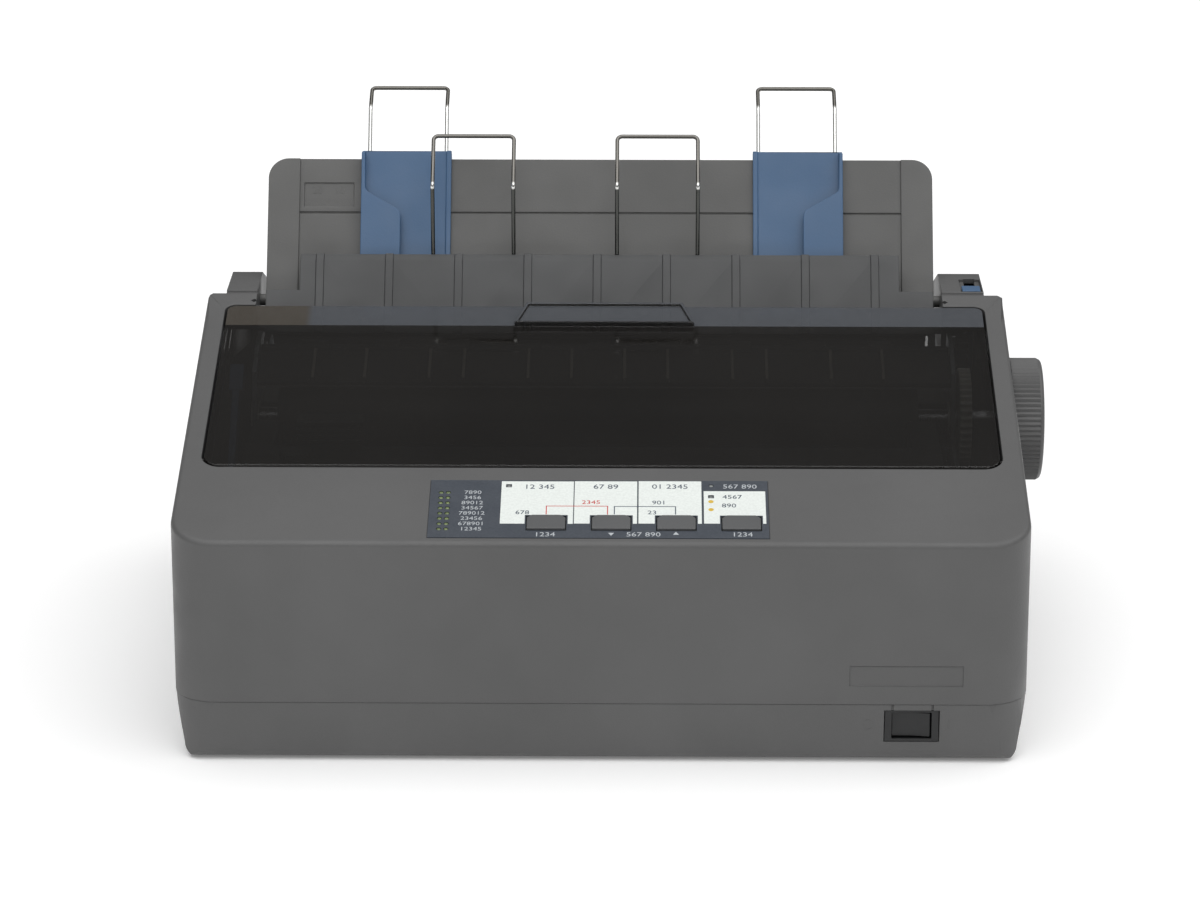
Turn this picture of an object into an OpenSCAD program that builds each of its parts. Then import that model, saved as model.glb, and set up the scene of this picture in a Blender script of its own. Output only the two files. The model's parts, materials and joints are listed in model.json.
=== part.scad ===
// Desktop dot matrix printer with a flip-up cover, a folding sheet guide and push tractors.
// Lengths are millimetres. +X is the printer's right, +Y its back and +Z is up.
// Pieces are drawn from the middle of the front face at desk level, and placed() then
// moves them so that the origin is the middle of the footprint, knob included.

/* [Case] */
// Width of the case
body_w = 348; // [346:1:380]
// Depth of the case
body_d = 275; // [272:1:300]
// Height of the deck at the front face
front_h = 94.9; // [93:0.1:110]
// Slope of the deck in degrees
deck_slope = 14.65; // [14:0.05:16]
// Depth of the wide part that carries the deck
frame_d = 190.5; // [189:0.5:193]
// Height of the line where the upper and the lower case meet
part_z = 26.3; // [25:0.1:28]
// Thickness of the case walls
wall = 2.5; // [2:0.1:2.8]
// Radius of the upper case's front corners
corner_r = 18; // [12:1:22]
// Radius of the upper case's rear corners
rear_corner_r = 8; // [6:1:12]
// Height of the shoulders behind the deck
shoulder_h = 118; // [110:1:124]
// Height of the shoulders at the back
back_h = 100; // [97:1:108]
// Height of the rear wall below the paper entry
entry_h = 94; // [80:1:98]
// Height of the flat tops beside the paper guide
block_h = 146; // [145:0.5:152]
// Distance of those tops from the sides of the case
block_inset = 8; // [6:0.5:9]
// Distance over which those tops stay flat
block_flat = 30; // [26:1:40]
// Overhang of the upper case over the lower case
overhang = 0.3; // [0.2:0.1:1]
// Radius of the lower case's bottom edges
tub_r = 5; // [4:0.5:8]
// Width that the lower case loses towards its bottom edges
tub_taper = 3.8; // [2:0.1:5]
// Depth that the lower case loses towards its bottom edges, at each end
tub_end_taper = 1.5; // [0.5:0.1:3]
// Height of the rubber feet
foot_h = 1; // [1:0.5:3]
// Diameter of the rubber feet
foot_dia = 16; // [12:1:24]
// Diameter of the case screws
screw_dia = 3; // [2.5:0.1:4]

/* [Printer cover] */
// Distance from the front face to the cover opening
open_y = 54.3; // [53:0.1:56]
// Distance from the front face to the far edge of the cover opening
open_end = 181; // [179:0.5:182]
// Width of the rails beside the cover opening
rail_w = 8.5; // [8:0.1:10]
// Gap all round the cover
cover_gap = 1; // [0.7:0.1:1.5]
// Thickness of the cover
cover_t = 3; // [2.5:0.1:3.5]
// Radius of the cover opening's front corners
cover_r = 8.5; // [6:0.5:12]
// Radius of the cover opening's rear corners
cover_rear_r = 5; // [3:0.5:8]
// Width of the finger tab at its foot
tab_w = 78; // [50:1:100]
// Height of the finger tab
tab_h = 2.5; // [1.5:0.1:4]
// Diameter of the cover's hinge pins
hinge_dia = 2.4; // [2:0.1:2.6]

/* [Control panel] */
// Width of the printed label
label_w = 137.6; // [134:0.2:139]
// Middle of the printed label
label_x = -0.85; // [-1.5:0.05:0]
// Depth of the printed label along the deck
label_d = 42.4; // [42:0.2:43]
// Distance from the deck's front edge to the label
label_y = 4.1; // [3.6:0.1:4.4]
// Width of a button
button_w = 15.6; // [12:0.2:18]
// Depth of a button
button_d = 10; // [7:0.2:11]
// Pitch of the buttons
button_pitch = 26.3; // [22:0.1:30]
// Place of the first button
button_x = -22; // [-24:0.5:-20]
// Distance of the buttons from the deck's front edge
button_y = 14.8; // [13:0.1:18]
// Height of the buttons above the deck
button_h = 1; // [1:0.1:3]
// Travel of the buttons
button_travel = 0.8; // [0.5:0.1:1.5]
// Width of the power switch
switch_w = 22.2; // [20:0.2:26]
// Height of the power switch
switch_h = 13.6; // [12:0.2:14]
// Place of the power switch
switch_x = 126.5; // [110:0.5:135]
// Throw of the power switch in degrees
switch_throw = 16; // [8:1:20]

/* [Paper guide] */
// Middle of the paper path
path_x = -2.5; // [-3.5:0.5:0]
// Width of the paper guide
guide_w = 295; // [288:1:296]
// Gap between the paper guide and the case beside it
guide_gap = 2.5; // [2:0.1:3]
// Lean of the paper guide in degrees
guide_lean = 30; // [26:1:34]
// Length of the paper guide
guide_len = 60.6; // [56:0.2:66]
// Thickness of the paper guide
guide_t = 3; // [2.5:0.1:4]
// Distance from the front face to the foot of the paper guide
guide_y = 206; // [204:0.5:208]
// Height of the foot of the paper guide
guide_z = 141.7; // [140.5:0.1:144]
// Width of the paper guide's side rails
side_rail_w = 14; // [10:1:16]
// Diameter of the paper guide's pivots
guide_pin_dia = 5; // [4:0.2:6]
// Width of an edge guide
edge_w = 39.8; // [36:0.1:46]
// Place of the left edge guide's outer side
edge_left_x = -108.5; // [-114:0.1:-105]
// Place of the right edge guide's outer side
edge_right_x = 105.1; // [100:0.1:110]
// Height of the channel in an edge guide
edge_channel = 3; // [2.5:0.1:4]
// Diameter of the wires
wire_dia = 1.8; // [1.4:0.1:2]
// Distance between the legs of a rear wire
rear_wire_w = 34.2; // [32:0.1:36]
// Distance between the legs of a front wire
front_wire_w = 35.5; // [30:0.5:38]
// Middle of the left front wire
front_wire_left = -58.15; // [-62:0.05:-54]
// Middle of the right front wire
front_wire_right = 22.9; // [18:0.1:28]

/* [Ribbed panel] */
// Lean of the ribbed panel in degrees
panel_lean = 34.5; // [34:0.5:38]
// Length of the ribbed panel up its slope
panel_len = 33.3; // [32:0.1:34]
// Thickness of the ribbed panel
panel_t = 2; // [1.5:0.1:2.5]
// Distance from the front face to the foot of the ribbed panel
panel_y = 182; // [181:0.5:183]
// Height of the foot of the ribbed panel
panel_z = 129; // [128:0.5:130]
// Width of a rib
rib_w = 3.5; // [2:0.1:6]
// Pitch of the ribs
rib_pitch = 30.5; // [28:0.5:32]
// Height of the ribs
rib_h = 0.5; // [0.3:0.1:1]

/* [Print mechanism] */
// Distance from the front face to the platen
platen_y = 146; // [145:0.5:147]
// Depth of the platen's axis below the deck
platen_drop = 31; // [30:0.5:33]
// Diameter of the platen's rubber
platen_dia = 26; // [24:0.5:27]
// Length of the platen's rubber
platen_w = 275; // [270:1:280]
// Diameter of the platen's shaft
platen_shaft_dia = 8; // [6:0.5:9]
// Diameter of the paper feed knob
knob_dia = 52.6; // [44:0.2:54]
// Reach of the paper feed knob beyond the case
knob_reach = 14; // [12:0.1:18]
// Ribs round the knob
knob_ribs = 75; // [60:1:90]
// Distance of the chassis side plates from the middle
plate_x = 150; // [149.5:0.1:150.5]
// Thickness of the chassis plates
plate_t = 2; // [1.6:0.1:2.4]
// Height of the chassis base plate
base_z = 44; // [43:0.5:45]
// Diameter of the carriage's guide shaft
rail_dia = 10; // [8:0.5:11]
// Width of the carriage
carriage_w = 34; // [30:1:38]
// Travel of the carriage
carriage_travel = 225; // [200:1:228]
// Parked place of the carriage
carriage_park = -115; // [-116:1:-110]
// Radius of the belt pulleys
pulley_r = 6; // [5:0.5:7]
// Diameter of the motors
motor_dia = 35; // [30:1:36]
// Width of the ribbon
ribbon_w = 10; // [8:0.5:11]

/* [Paper feed] */
// Size of the gear teeth
gear_module = 1; // [0.98:0.01:1.02]
// Width of the gears
gear_w = 5; // [4:0.5:5.5]
// Teeth of the platen gear
platen_teeth = 42; // [42:1:43]
// Teeth of the tractor gear
tractor_teeth = 30; // [28:1:31]
// Radius of the tractor sprockets
sprocket_r = 10.5; // [10:0.1:11]
// Pins round a sprocket
sprocket_pins = 6; // [5:1:8]
// Size of the square tractor shaft
square_w = 6; // [5:0.2:6.4]
// Width of a tractor
tractor_w = 24; // [22:0.5:25]
// Place of the left tractor's outer side
tractor_left_x = -124; // [-126:1:-118]
// Place of the right tractor's outer side
tractor_right_x = 119; // [112:1:121]
// Radius of the eject rollers
eject_r = 4.5; // [4:0.1:4.8]
// Radius of the pinch rollers
pinch_r = 5.5; // [5:0.1:6]

/* [Fits] */
// Gap between pieces that move past each other
clearance = 0.4; // [0.35:0.01:0.5]
// Gap all round a shaft in its bore
bore_gap = 0.05; // [0.02:0.01:0.1]
// Gap between pieces that are set in each other
seat_gap = 0.15; // [0.1:0.01:0.2]

/* [Hidden] */
$fn = 48;
EPS = 0.01;

GREY = "#666666";
DARK_GREY = "#505050";
SMOKE = "#2a2825";
BLACK = "#1c1c1c";
BLUE = "#546f91";
STEEL = "#b8babc";
ZINC = "#9a9fa3";
WHITE_PLASTIC = "#d8d6ce";

// ---- placing ----
half_w = body_w / 2;
function deck(y) = front_h + y * tan(deck_slope);
function slope_at(y) = y / cos(deck_slope);
function dir(a) = [cos(a), sin(a)];
module placed() translate([-knob_reach / 2, -body_d / 2, 0]) children();
// Extrudes a (y, z) outline along X
module along_x(x0, x1) translate([x0, 0, 0]) rotate([90, 0, 90]) linear_extrude(x1 - x0) children();
// Extrudes an (x, z) outline along Y
module along_y(y0, y1) translate([0, y1, 0]) rotate([90, 0, 0]) linear_extrude(y1 - y0) children();
module rod_x(x0, x1, p, r) along_x(x0, x1) translate(p) circle(r);
module rod_y(y0, y1, p, r) along_y(y0, y1) translate(p) circle(r);
module box(a, b) translate(a) cube(b - a);
// The deck's frame: local Y runs up the deck and local Z stands on it
module on_deck() translate([0, 0, front_h]) rotate([deck_slope, 0, 0]) children();
// The paper guide's frame: local Z runs up its face and local Y points behind it
module on_guide() translate([0, guide_y, guide_z]) rotate([-guide_lean, 0, 0]) children();
module on_panel() translate([0, panel_y, panel_z]) rotate([-panel_lean, 0, 0]) children();

// Rectangle with rounded corners of radius r0 at its low side and r1 at its high side
module rounded(x0, y0, x1, y1, r0, r1) {
    translate([x0, y0 + r0]) square([x1 - x0, y1 - y0 - r0 - r1]);
    translate([x0 + r0, y0]) square([x1 - x0 - 2 * r0, r0 + EPS]);
    translate([x0 + r1, y1 - r1 - EPS]) square([x1 - x0 - 2 * r1, r1 + EPS]);
    for (x = [x0 + r0, x1 - r0]) translate([x, y0 + r0]) circle(r0);
    for (x = [x0 + r1, x1 - r1]) translate([x, y1 - r1]) circle(r1);
}

// ---- case ----
block_left = path_x - guide_w / 2 - guide_gap;
block_right = path_x + guide_w / 2 + guide_gap;
block_x = half_w - block_inset;
block_floor = 116;
lip_t = 2;
rim_t = 2;
rim_h = 8;
open_half = half_w - rail_w;
open_s0 = slope_at(open_y);
open_s1 = slope_at(open_end);
// Distance from the cover's front edge to its hinge, and the hinge's depth below the deck
hinge_back = 6.3;
hinge_s = open_s0 + cover_gap + hinge_back;
hinge_n = -2;
skirt_h = 3;
post_x = half_w - 16;
post_front_y = 16;
post_rear_y = body_d - 15;
standoff_x = 134;
standoff_front_y = 74;
standoff_rear_y = body_d - 47;
board_z = 28;
foot_x = half_w - 44;
knob_axis = [platen_y, deck(platen_y) - platen_drop];
switch_z = 16.6;
switch_front = 1.6;
slit_w = 0.8;
guide_pivot = [guide_t / 2, -4];
release_pivot = [205, 112];
release_x = block_x - 5.2;
pad_y = 192.5;
pad_d = 8;
pad_t = 1.2;
pocket_h = 1.6;
release_back = 11.5;
release_t = 3;
lever_w = 8;

function shoulder(y) =
    shoulder_h - (shoulder_h - back_h) * (y - frame_d) / (body_d - frame_d);

// The upper case's side outline, drawn in by t
module side_outline(t, floor_z) {
    n = t / cos(deck_slope);
    polygon([[t, floor_z], [t, deck(t) - n], [frame_d - t, deck(frame_d - t) - n],
        [frame_d - t, shoulder(frame_d - t) - t], [body_d - t, shoulder(body_d - t) - t],
        [body_d - t, floor_z]]);
}

module upper_block(t, floor_z)
    intersection() {
        along_x(-half_w + t, half_w - t) side_outline(t, floor_z);
        translate([0, 0, floor_z]) linear_extrude(200)
            rounded(-half_w + t, t, half_w - t, body_d - t, corner_r - t, rear_corner_r - t);
    }

// One of the raised tops beside the paper guide, from x0 to x1, drawn in by t
module side_top(x0, x1, t)
    along_x(x0 + t, x1 - t) {
        flat_end = frame_d + block_flat;
        polygon([[frame_d - wall - t, shoulder_h - 2 * wall], [frame_d - wall - t, shoulder_h + 10],
            [frame_d + t, shoulder_h + 12], [frame_d + t, block_h - t], [flat_end, block_h - t],
            [body_d - 7, block_h - 19 - t], [body_d - t, block_h - 24 - t],
            [body_d - t, shoulder(body_d) - 2 * wall]]);
    }

// The cover opening, as seen square to the deck, grown by t
module cover_opening(t)
    rounded(-open_half - t, open_s0 - t, open_half + t, open_s1 + t, cover_r + t, cover_rear_r + t);

module exit_opening(t)
    translate([block_left - t, open_s1 - 12])
        square([block_right - block_left + 2 * t, slope_at(frame_d) - open_s1 + 12]);

module button_places()
    for (i = [0:3]) translate([button_x + i * button_pitch, button_y]) children();

module screw_places()
    for (x = [-post_x, post_x], y = [post_front_y, post_rear_y]) translate([x, y]) children();

module upper_case()
    color(GREY) placed() difference() {
        union() {
            difference() {
                union() {
                    upper_block(0, part_z);
                    side_top(-block_x, block_left, 0);
                    side_top(block_right, block_x, 0);
                }
                upper_block(wall, part_z + lip_t);
                side_top(-block_x, block_left, wall);
                side_top(block_right, block_x, wall);
                // inner edge of the lip that stands on the lower case
                translate([0, 0, part_z - 1]) linear_extrude(lip_t + 2)
                    rounded(-half_w + lip_in, lip_in, half_w - lip_in, body_d - lip_in, corner_r - lip_in,
                        rear_corner_r - lip_in);
            }
            // rim round the openings
            intersection() {
                on_deck() translate([0, 0, -wall - rim_h]) linear_extrude(wall + rim_h) {
                    cover_opening(rim_t);
                    exit_opening(rim_t);
                }
                upper_block(0, part_z);
            }
            // posts for the screws
            intersection() {
                screw_places() cylinder(d = 8, h = 300);
                upper_block(wall / 2, part_z + 1);
            }
            // webs that tie the rear posts to the rear wall
            for (x = [-post_x, post_x])
                box([x - 1.5, post_rear_y, part_z + tongue_h + 1],
                    [x + 1.5, body_d - wall / 2, back_h - 2 * wall]);
            // posts for the panel board
            on_deck() for (x = panel_posts_x, y = panel_posts_y)
                translate([x, y, board_n]) cylinder(d = 6, h = -board_n - wall / 2);
        }
        // cover opening and paper exit
        on_deck() translate([0, 0, -60]) linear_extrude(90) cover_opening(0);
        on_deck() translate([0, 0, -60]) linear_extrude(90) exit_opening(0);
        box([block_left, frame_d - 2 * wall, 60], [block_right, body_d - wall, 200]);
        box([block_left, body_d - 2 * wall, entry_h], [block_right, body_d + 1, 200]);
        // the inner walls of the side tops stop above the gears
        box([block_left - wall - EPS, frame_d - wall - 1, 60],
            [block_right + wall + EPS, body_d - wall, block_floor]);
        // small slits beside the paper exit
        for (x = [block_left - 1, block_right + 1])
            on_deck() translate([x, slope_at(frame_d) - 6, 0]) rotate(45) cube([2, 2, 9], center = true);
        // hinge of the cover
        on_deck() rod_x(-open_half - rim_t - 1, open_half + rim_t + 1, [hinge_s, hinge_n],
            hinge_dia / 2 + bore_gap);
        // pivots of the paper guide
        on_guide() rod_x(block_left - wall - 1, block_right + wall + 1, guide_pivot,
            guide_pin_dia / 2 + bore_gap);
        // platen shaft
        rod_x(half_w - wall - 1, half_w + 1, knob_axis, platen_shaft_dia / 2 + 1);
        // label, buttons and lamps
        on_deck() translate([0, 0, -label_sunk]) linear_extrude(2) label_outline(seat_gap);
        on_deck() button_places() cube([button_w + 2 * clearance, button_d + 2 * clearance, 20],
            center = true);
        on_deck() lamp_places() translate([0, 0, -10]) cylinder(r = lamp_r + seat_gap, h = 12);
        // bare badge recess
        box([101, -1, 34.3], [146.8, 0.35, 42.8]);
        // slot for the release lever
        box([release_x - release_t / 2 - 0.8, frame_d + wall + 0.2, block_floor],
            [release_x + release_t / 2 + 0.8, pad_y + pad_d + release_back + 1, block_h + 5]);
        box([release_x - lever_w / 2 - 0.6, pad_y - 0.6, block_h - pocket_h],
            [release_x + lever_w / 2 + 0.6, pad_y + pad_d + release_back, block_h + 5]);
        // pilot holes, mains inlet and sockets
        translate([0, 0, part_z - 1]) screw_places() cylinder(r = screw_dia / 2 + bore_gap, h = 26);
        box([inlet_x0 - seat_gap, body_d - wall - 1, inlet_z0 - seat_gap],
            [inlet_x1 + seat_gap, body_d + 1, inlet_z1 + seat_gap]);
        for (p = ports) box([p[0] - seat_gap, body_d - wall - 1, port_z0 - seat_gap],
            [p[1] + seat_gap, body_d + 1, p[2] + seat_gap]);
    }

lip_in = overhang + wall + 0.5;
tongue_h = 3;
tongue_t = 1.7;
lower_half = half_w - overhang;

// The lower case's outer shape, drawn in by t
module tub(t) {
    r = tub_r - t;
    low = foot_h + tub_r;
    w_top = lower_half - t;
    w_low = w_top - tub_taper;
    y_top = overhang + t;
    y_low = y_top + tub_end_taper;
    intersection() {
        along_y(0, body_d) {
            polygon([[-w_top, part_z], [w_top, part_z], [w_low, low], [-w_low, low]]);
            rounded(-w_low, foot_h + t, w_low, low + r + 1, r, r);
        }
        along_x(-half_w, half_w) {
            polygon([[y_top, part_z], [body_d - y_top, part_z], [body_d - y_low, low], [y_low, low]]);
            rounded(y_low, foot_h + t, body_d - y_low, low + r + 1, r, r);
        }
        linear_extrude(part_z) rounded(-w_top, y_top, w_top, body_d - y_top, corner_r - overhang - t,
            rear_corner_r - overhang - t);
    }
}

module lower_case()
    color(GREY) placed() difference() {
        union() {
            difference() {
                tub(0);
                tub(wall);
                translate([0, 0, part_z - 1]) linear_extrude(5)
                    rounded(-lower_half + wall, overhang + wall, lower_half - wall,
                        body_d - overhang - wall, corner_r - overhang - wall, rear_corner_r - overhang - wall);
            }
            // tongue that lines the upper case up
            translate([0, 0, part_z - 3]) linear_extrude(3 + tongue_h) difference() {
                rounded(-half_w + lip_in + seat_gap, lip_in + seat_gap, half_w - lip_in - seat_gap,
                    body_d - lip_in - seat_gap, corner_r - lip_in - seat_gap, rear_corner_r - lip_in - seat_gap);
                rounded(-half_w + lip_in + tongue_t, lip_in + tongue_t, half_w - lip_in - tongue_t,
                    body_d - lip_in - tongue_t, corner_r - lip_in - tongue_t, rear_corner_r - lip_in - tongue_t);
            }
            translate([0, 0, part_z - 3]) linear_extrude(2) difference() {
                rounded(-lower_half + wall - 0.5, overhang + wall - 0.5, lower_half - wall + 0.5,
                    body_d - overhang - wall + 0.5, corner_r - lip_in + 1, rear_corner_r - lip_in + 1);
                rounded(-half_w + lip_in + tongue_t, lip_in + tongue_t, half_w - lip_in - tongue_t,
                    body_d - lip_in - tongue_t, corner_r - lip_in - tongue_t, rear_corner_r - lip_in - tongue_t);
            }
            // standoffs for the chassis and the boards
            for (x = [-standoff_x, standoff_x], y = [standoff_front_y, standoff_rear_y])
                translate([x, y, foot_h + wall / 2]) cylinder(d = 9, h = base_z - foot_h - wall / 2);
            for (p = board_posts) translate([p[0], p[1], foot_h + wall / 2])
                cylinder(d = 6, h = board_z - foot_h - wall / 2);
            // bosses for the screws
            intersection() {
                screw_places() cylinder(d = 9, h = part_z + 1);
                tub(EPS);
            }
        }
        screw_places() cylinder(r = screw_dia / 2 + clearance / 2, h = 60);
        screw_places() cylinder(r = screw_dia + seat_gap, h = foot_h + 5);
        // opening for the power switch
        box([switch_x - switch_w / 2 - seat_gap, -1, switch_z - switch_h / 2 - seat_gap],
            [switch_x + switch_w / 2 + seat_gap, 20, switch_z + switch_h / 2 + seat_gap]);
        // slits above the switch
        for (x = [-8, 8.3]) box([switch_x + x - slit_w / 2, -1, switch_z],
            [switch_x + x + slit_w / 2, overhang + 0.8, part_z + 1]);
    }

module rubber_feet()
    color("#232323") placed() for (x = [-foot_x, foot_x], y = [34, body_d - 34])
        translate([x, y, 0]) cylinder(d = foot_dia, h = foot_h);

module case_screws()
    color(STEEL) placed() screw_places() translate([0, 0, foot_h + 2.9]) {
        cylinder(r = screw_dia, h = 2);
        cylinder(d = screw_dia, h = part_z + 16 - foot_h);
    }

// ---- cover ----
module printer_cover() {
    s0 = open_s0 + cover_gap;
    s1 = open_s1 - cover_gap;
    w = open_half - cover_gap;
    color(SMOKE) placed() on_deck() difference() {
        union() {
            translate([0, 0, -cover_t]) linear_extrude(cover_t)
                rounded(-w, s0, w, s1, cover_r - cover_gap, cover_rear_r - cover_gap);
            // skirts along the sides
            for (x = [-w + 0.5, w - 2.5])
                box([x, s0 + 12, -cover_t - skirt_h], [x + 2, s1 - 8, -cover_t + EPS]);
            // finger tab
            translate([0, 0, -EPS]) linear_extrude(tab_h + EPS)
                polygon([[-tab_w / 2, s1 - 17], [tab_w / 2, s1 - 17], [tab_w / 2 - 5, s1 - 0.5],
                    [-tab_w / 2 + 5, s1 - 0.5]]);
            // hinge pins
            rod_x(-open_half - rim_t + 0.3, -w + 6, [hinge_s, hinge_n], hinge_dia / 2);
            rod_x(w - 6, open_half + rim_t - 0.3, [hinge_s, hinge_n], hinge_dia / 2);
            for (x = [-w + 1, w - 6]) box([x, hinge_s - 0.8, -cover_t - 0.6],
                [x + 5, hinge_s + 6, -cover_t + EPS]);
        }
        // hollow of the finger tab and the chamfer that lets the front edge turn
        translate([0, 0, tab_h - 1.2]) linear_extrude(2)
            polygon([[-tab_w / 2 + 1.6, s1 - 16], [tab_w / 2 - 1.6, s1 - 16], [tab_w / 2 - 6, s1 - 1.8],
                [-tab_w / 2 + 6, s1 - 1.8]]);
        along_x(-w - 1, w + 1) polygon([[s0 - 1, -1.2], [s0, -1.2], [s0 + 1, 0.1], [s0 - 1, 0.1]]);
        along_x(-w - 1, w + 1) polygon([[s0 - 1, -cover_t + 0.6], [s0, -cover_t + 0.6],
            [s0 + 0.7, -cover_t - 0.1], [s0 - 1, -cover_t - 0.1]]);
    }
}

// ---- control panel ----
lamp_r = 0.9;
board_n = -12;
panel_posts_x = [-71, 74];
panel_posts_y = [10, 40];
label_t = 0.5;
label_sunk = 0.4;
// Two columns of lamps at the left, and three lamps of their own
lamp_columns = [for (i = [0, 1]) label_x - label_w / 2 + 4.45 + i * 2.9];
lamp_rows = [for (i = [0:7]) label_y + 6.2 + i * 3.84];
lone_lamps = [[-37.7, 42.3], [44.8, 34.6], [44.9, 42.8]];
lamp_spots = concat([for (x = lamp_columns, y = lamp_rows) [x, y]], lone_lamps);
module lamp_places() for (p = lamp_spots) translate([p[0], p[1], 0]) children();

// The label as seen square to the deck, grown by t
module label_outline(t)
    translate([label_x - label_w / 2 - t, label_y - t]) square([label_w + 2 * t, label_d + 2 * t]);

module control_label()
    color("#4a4f57") placed() on_deck() difference() {
        translate([0, 0, -label_sunk]) linear_extrude(label_t) label_outline(0);
        button_places() cube([button_w + 2 * clearance, button_d + 2 * clearance, 20], center = true);
        lamp_places() translate([0, 0, -10]) cylinder(r = lamp_r + seat_gap, h = 20);
    }

// One push button, number i from the left, with a foot that keeps it in the case
module push_button(i)
    color(DARK_GREY) placed() on_deck() translate([button_x + i * button_pitch, button_y, 0]) {
        w = button_w / 2;
        d = button_d / 2;
        translate([0, 0, -wall - 2]) linear_extrude(wall + 2 + button_h)
            polygon([[-w, -d], [w, -d], [w, d - 2], [w - 2, d], [-w + 2, d], [-w, d - 2]]);
        box([-w - 1.5, -d - 1.5, -wall - clearance - 1.2], [w + 1.5, d + 1.5, -wall - clearance]);
        translate([0, 0, board_n + 1 + button_travel]) cylinder(r = 2, h = -board_n - 1 - wall - button_travel);
    }
module tear_off_button() push_button(0);
module line_feed_button() push_button(1);
module load_button() push_button(2);
module pause_button() push_button(3);

module panel_lamps()
    color("#8fae4a") placed() on_deck() lamp_places()
        translate([0, 0, board_n]) cylinder(r = lamp_r, h = label_t - label_sunk - board_n);

module power_switch_housing()
    color(BLACK) placed() translate([switch_x, 0, switch_z]) difference() {
        w = switch_w / 2;
        h = switch_h / 2;
        box([-w, switch_front, -h], [w, 24, h]);
        translate([0, rocker_y, -h + rocker_wall])
            cylinder(r = rocker_r + clearance, h = switch_h - 2 * rocker_wall);
        box([-rocker_r - clearance, switch_front + bezel_t, -h + rocker_wall],
            [rocker_r + clearance, rocker_y, h - rocker_wall]);
        box([-bezel_half, 0, -h + rocker_wall], [bezel_half, rocker_y, h - rocker_wall]);
        translate([0, rocker_y, -h - 1]) cylinder(r = rocker_pin_r + bore_gap, h = switch_h + 2);
    }

rocker_y = switch_front + 7.5;
bezel_t = 1.1;
rocker_wall = 1.2;
rocker_r = switch_w / 2 - rocker_wall;
rocker_pin_r = 1.5;
rocker_face = 5.6;
// Half the width of the opening in the switch's face
bezel_half = sqrt(rocker_r * rocker_r - rocker_face * rocker_face) - 0.1;

module power_switch_rocker()
    color("#2b2b2a") placed() translate([switch_x, rocker_y, switch_z]) {
        h = switch_h / 2;
        a = switch_throw;
        difference() {
            translate([0, 0, -h + rocker_wall + clearance])
                cylinder(r = rocker_r, h = switch_h - 2 * rocker_wall - 2 * clearance);
            translate([0, 0, -h]) linear_extrude(switch_h)
                polygon([[0, -rocker_face], [20, -rocker_face - 20 * tan(a / 2)], [20, -30], [-20, -30],
                    [-20, -rocker_face]]);
        }
        translate([0, 0, -h + 0.1]) cylinder(r = rocker_pin_r, h = switch_h - 0.2);
    }

// ---- paper guide ----
wire_r = wire_dia / 2;
top_r = 9;
recess = 1;
sleeve_y = guide_t + 0.5 + 1 + wire_r + 0.3;
hook_top = guide_len + clearance;

module paper_guide() {
    x0 = path_x - guide_w / 2;
    x1 = path_x + guide_w / 2;
    inner0 = x0 + side_rail_w;
    inner1 = x1 - side_rail_w;
    color(GREY) placed() on_guide() difference() {
        union() {
            along_y(0, guide_t) rounded(x0, -8, x1, guide_len, 1, top_r);
            // turned edges along the foot and between the side rails
            for (x = [x0, x1 - 3]) box([x, 0, -8], [x + 3, guide_t + 3, guide_len - top_r]);
            box([x0, guide_t - 1, -8], [x1, guide_t + 3, -5.5]);
            rod_x(x0 - guide_gap - wall + 0.4, x0 + 8, guide_pivot, guide_pin_dia / 2);
            rod_x(x1 - 8, x1 + guide_gap + wall - 0.4, guide_pivot, guide_pin_dia / 2);
        }
        box([inner0, -1, -9], [inner1, recess, guide_len + 1]);
        box([x0 + 16, -1, 38.6], [x0 + 38, recess + 0.6, 49.5]);
        along_x(inner0, inner1) polygon([[-1, 35.4], [recess + 0.7, 35.4], [recess + 0.7, 36.2], [-1, 36.2]]);
    }
}

// Flap of an edge guide, drawn for the left one with its outer side at x = 0
flap_w = 17.6;
flap_turn = 59.5;
function bow(c, r, a0, a1) = [for (i = [0:5]) c + r * dir(a0 + (a1 - a0) * i / 5)];
module flap_outline()
    polygon(concat([[0, 14], [flap_w, 14]], bow([flap_w - 4, 33.2], 4, 0, flap_turn),
        bow([5.2, 46.7], 3.4, 180 + flap_turn, 180), [[1.6, hook_top + 3 - wall_drop], [0, hook_top + 3 - wall_drop]]));
wall_drop = 1.8;

// Edge guide with its outer side at x = 0 and the paper on the +X side
module edge_guide() {
    front = recess - clearance / 2;
    base = front - 1;
    flap = base - edge_channel;
    difference() {
        union() {
            box([0, base, 14], [edge_w, front, hook_top + 3]);
            along_x(0, 1.6) polygon([[flap - 1.2, 14], [front, 14], [front, hook_top + 3],
                [flap - 1.2, hook_top + 3 - wall_drop]]);
            along_y(flap - 1.2, flap) flap_outline();
            box([edge_w - 2.2, base - 0.8, 14], [edge_w, front, hook_top + 3]);
            // hook over the top of the guide, and the sleeves behind it
            box([0, base, hook_top], [edge_w, guide_t + clearance + 1.2, hook_top + 3]);
            box([0, guide_t + clearance, 22], [edge_w, guide_t + clearance + 1.2, hook_top + 3]);
            for (x = wire_legs) box([x - 2.2, guide_t + clearance, 26],
                [x + 2.2, sleeve_y + wire_r + 1.2, hook_top + 3]);
        }
        for (x = wire_legs) translate([x, sleeve_y, 20]) cylinder(r = wire_r + bore_gap, h = 70);
    }
}
wire_legs = [edge_w / 2 - rear_wire_w / 2 + 0.2, edge_w / 2 + rear_wire_w / 2 + 0.2];

module left_edge_guide()
    color(BLUE) placed() on_guide() translate([edge_left_x, 0, 0]) edge_guide();
module right_edge_guide()
    color(BLUE) placed() on_guide() translate([edge_right_x, 0, 0]) mirror([1, 0, 0]) edge_guide();

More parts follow.
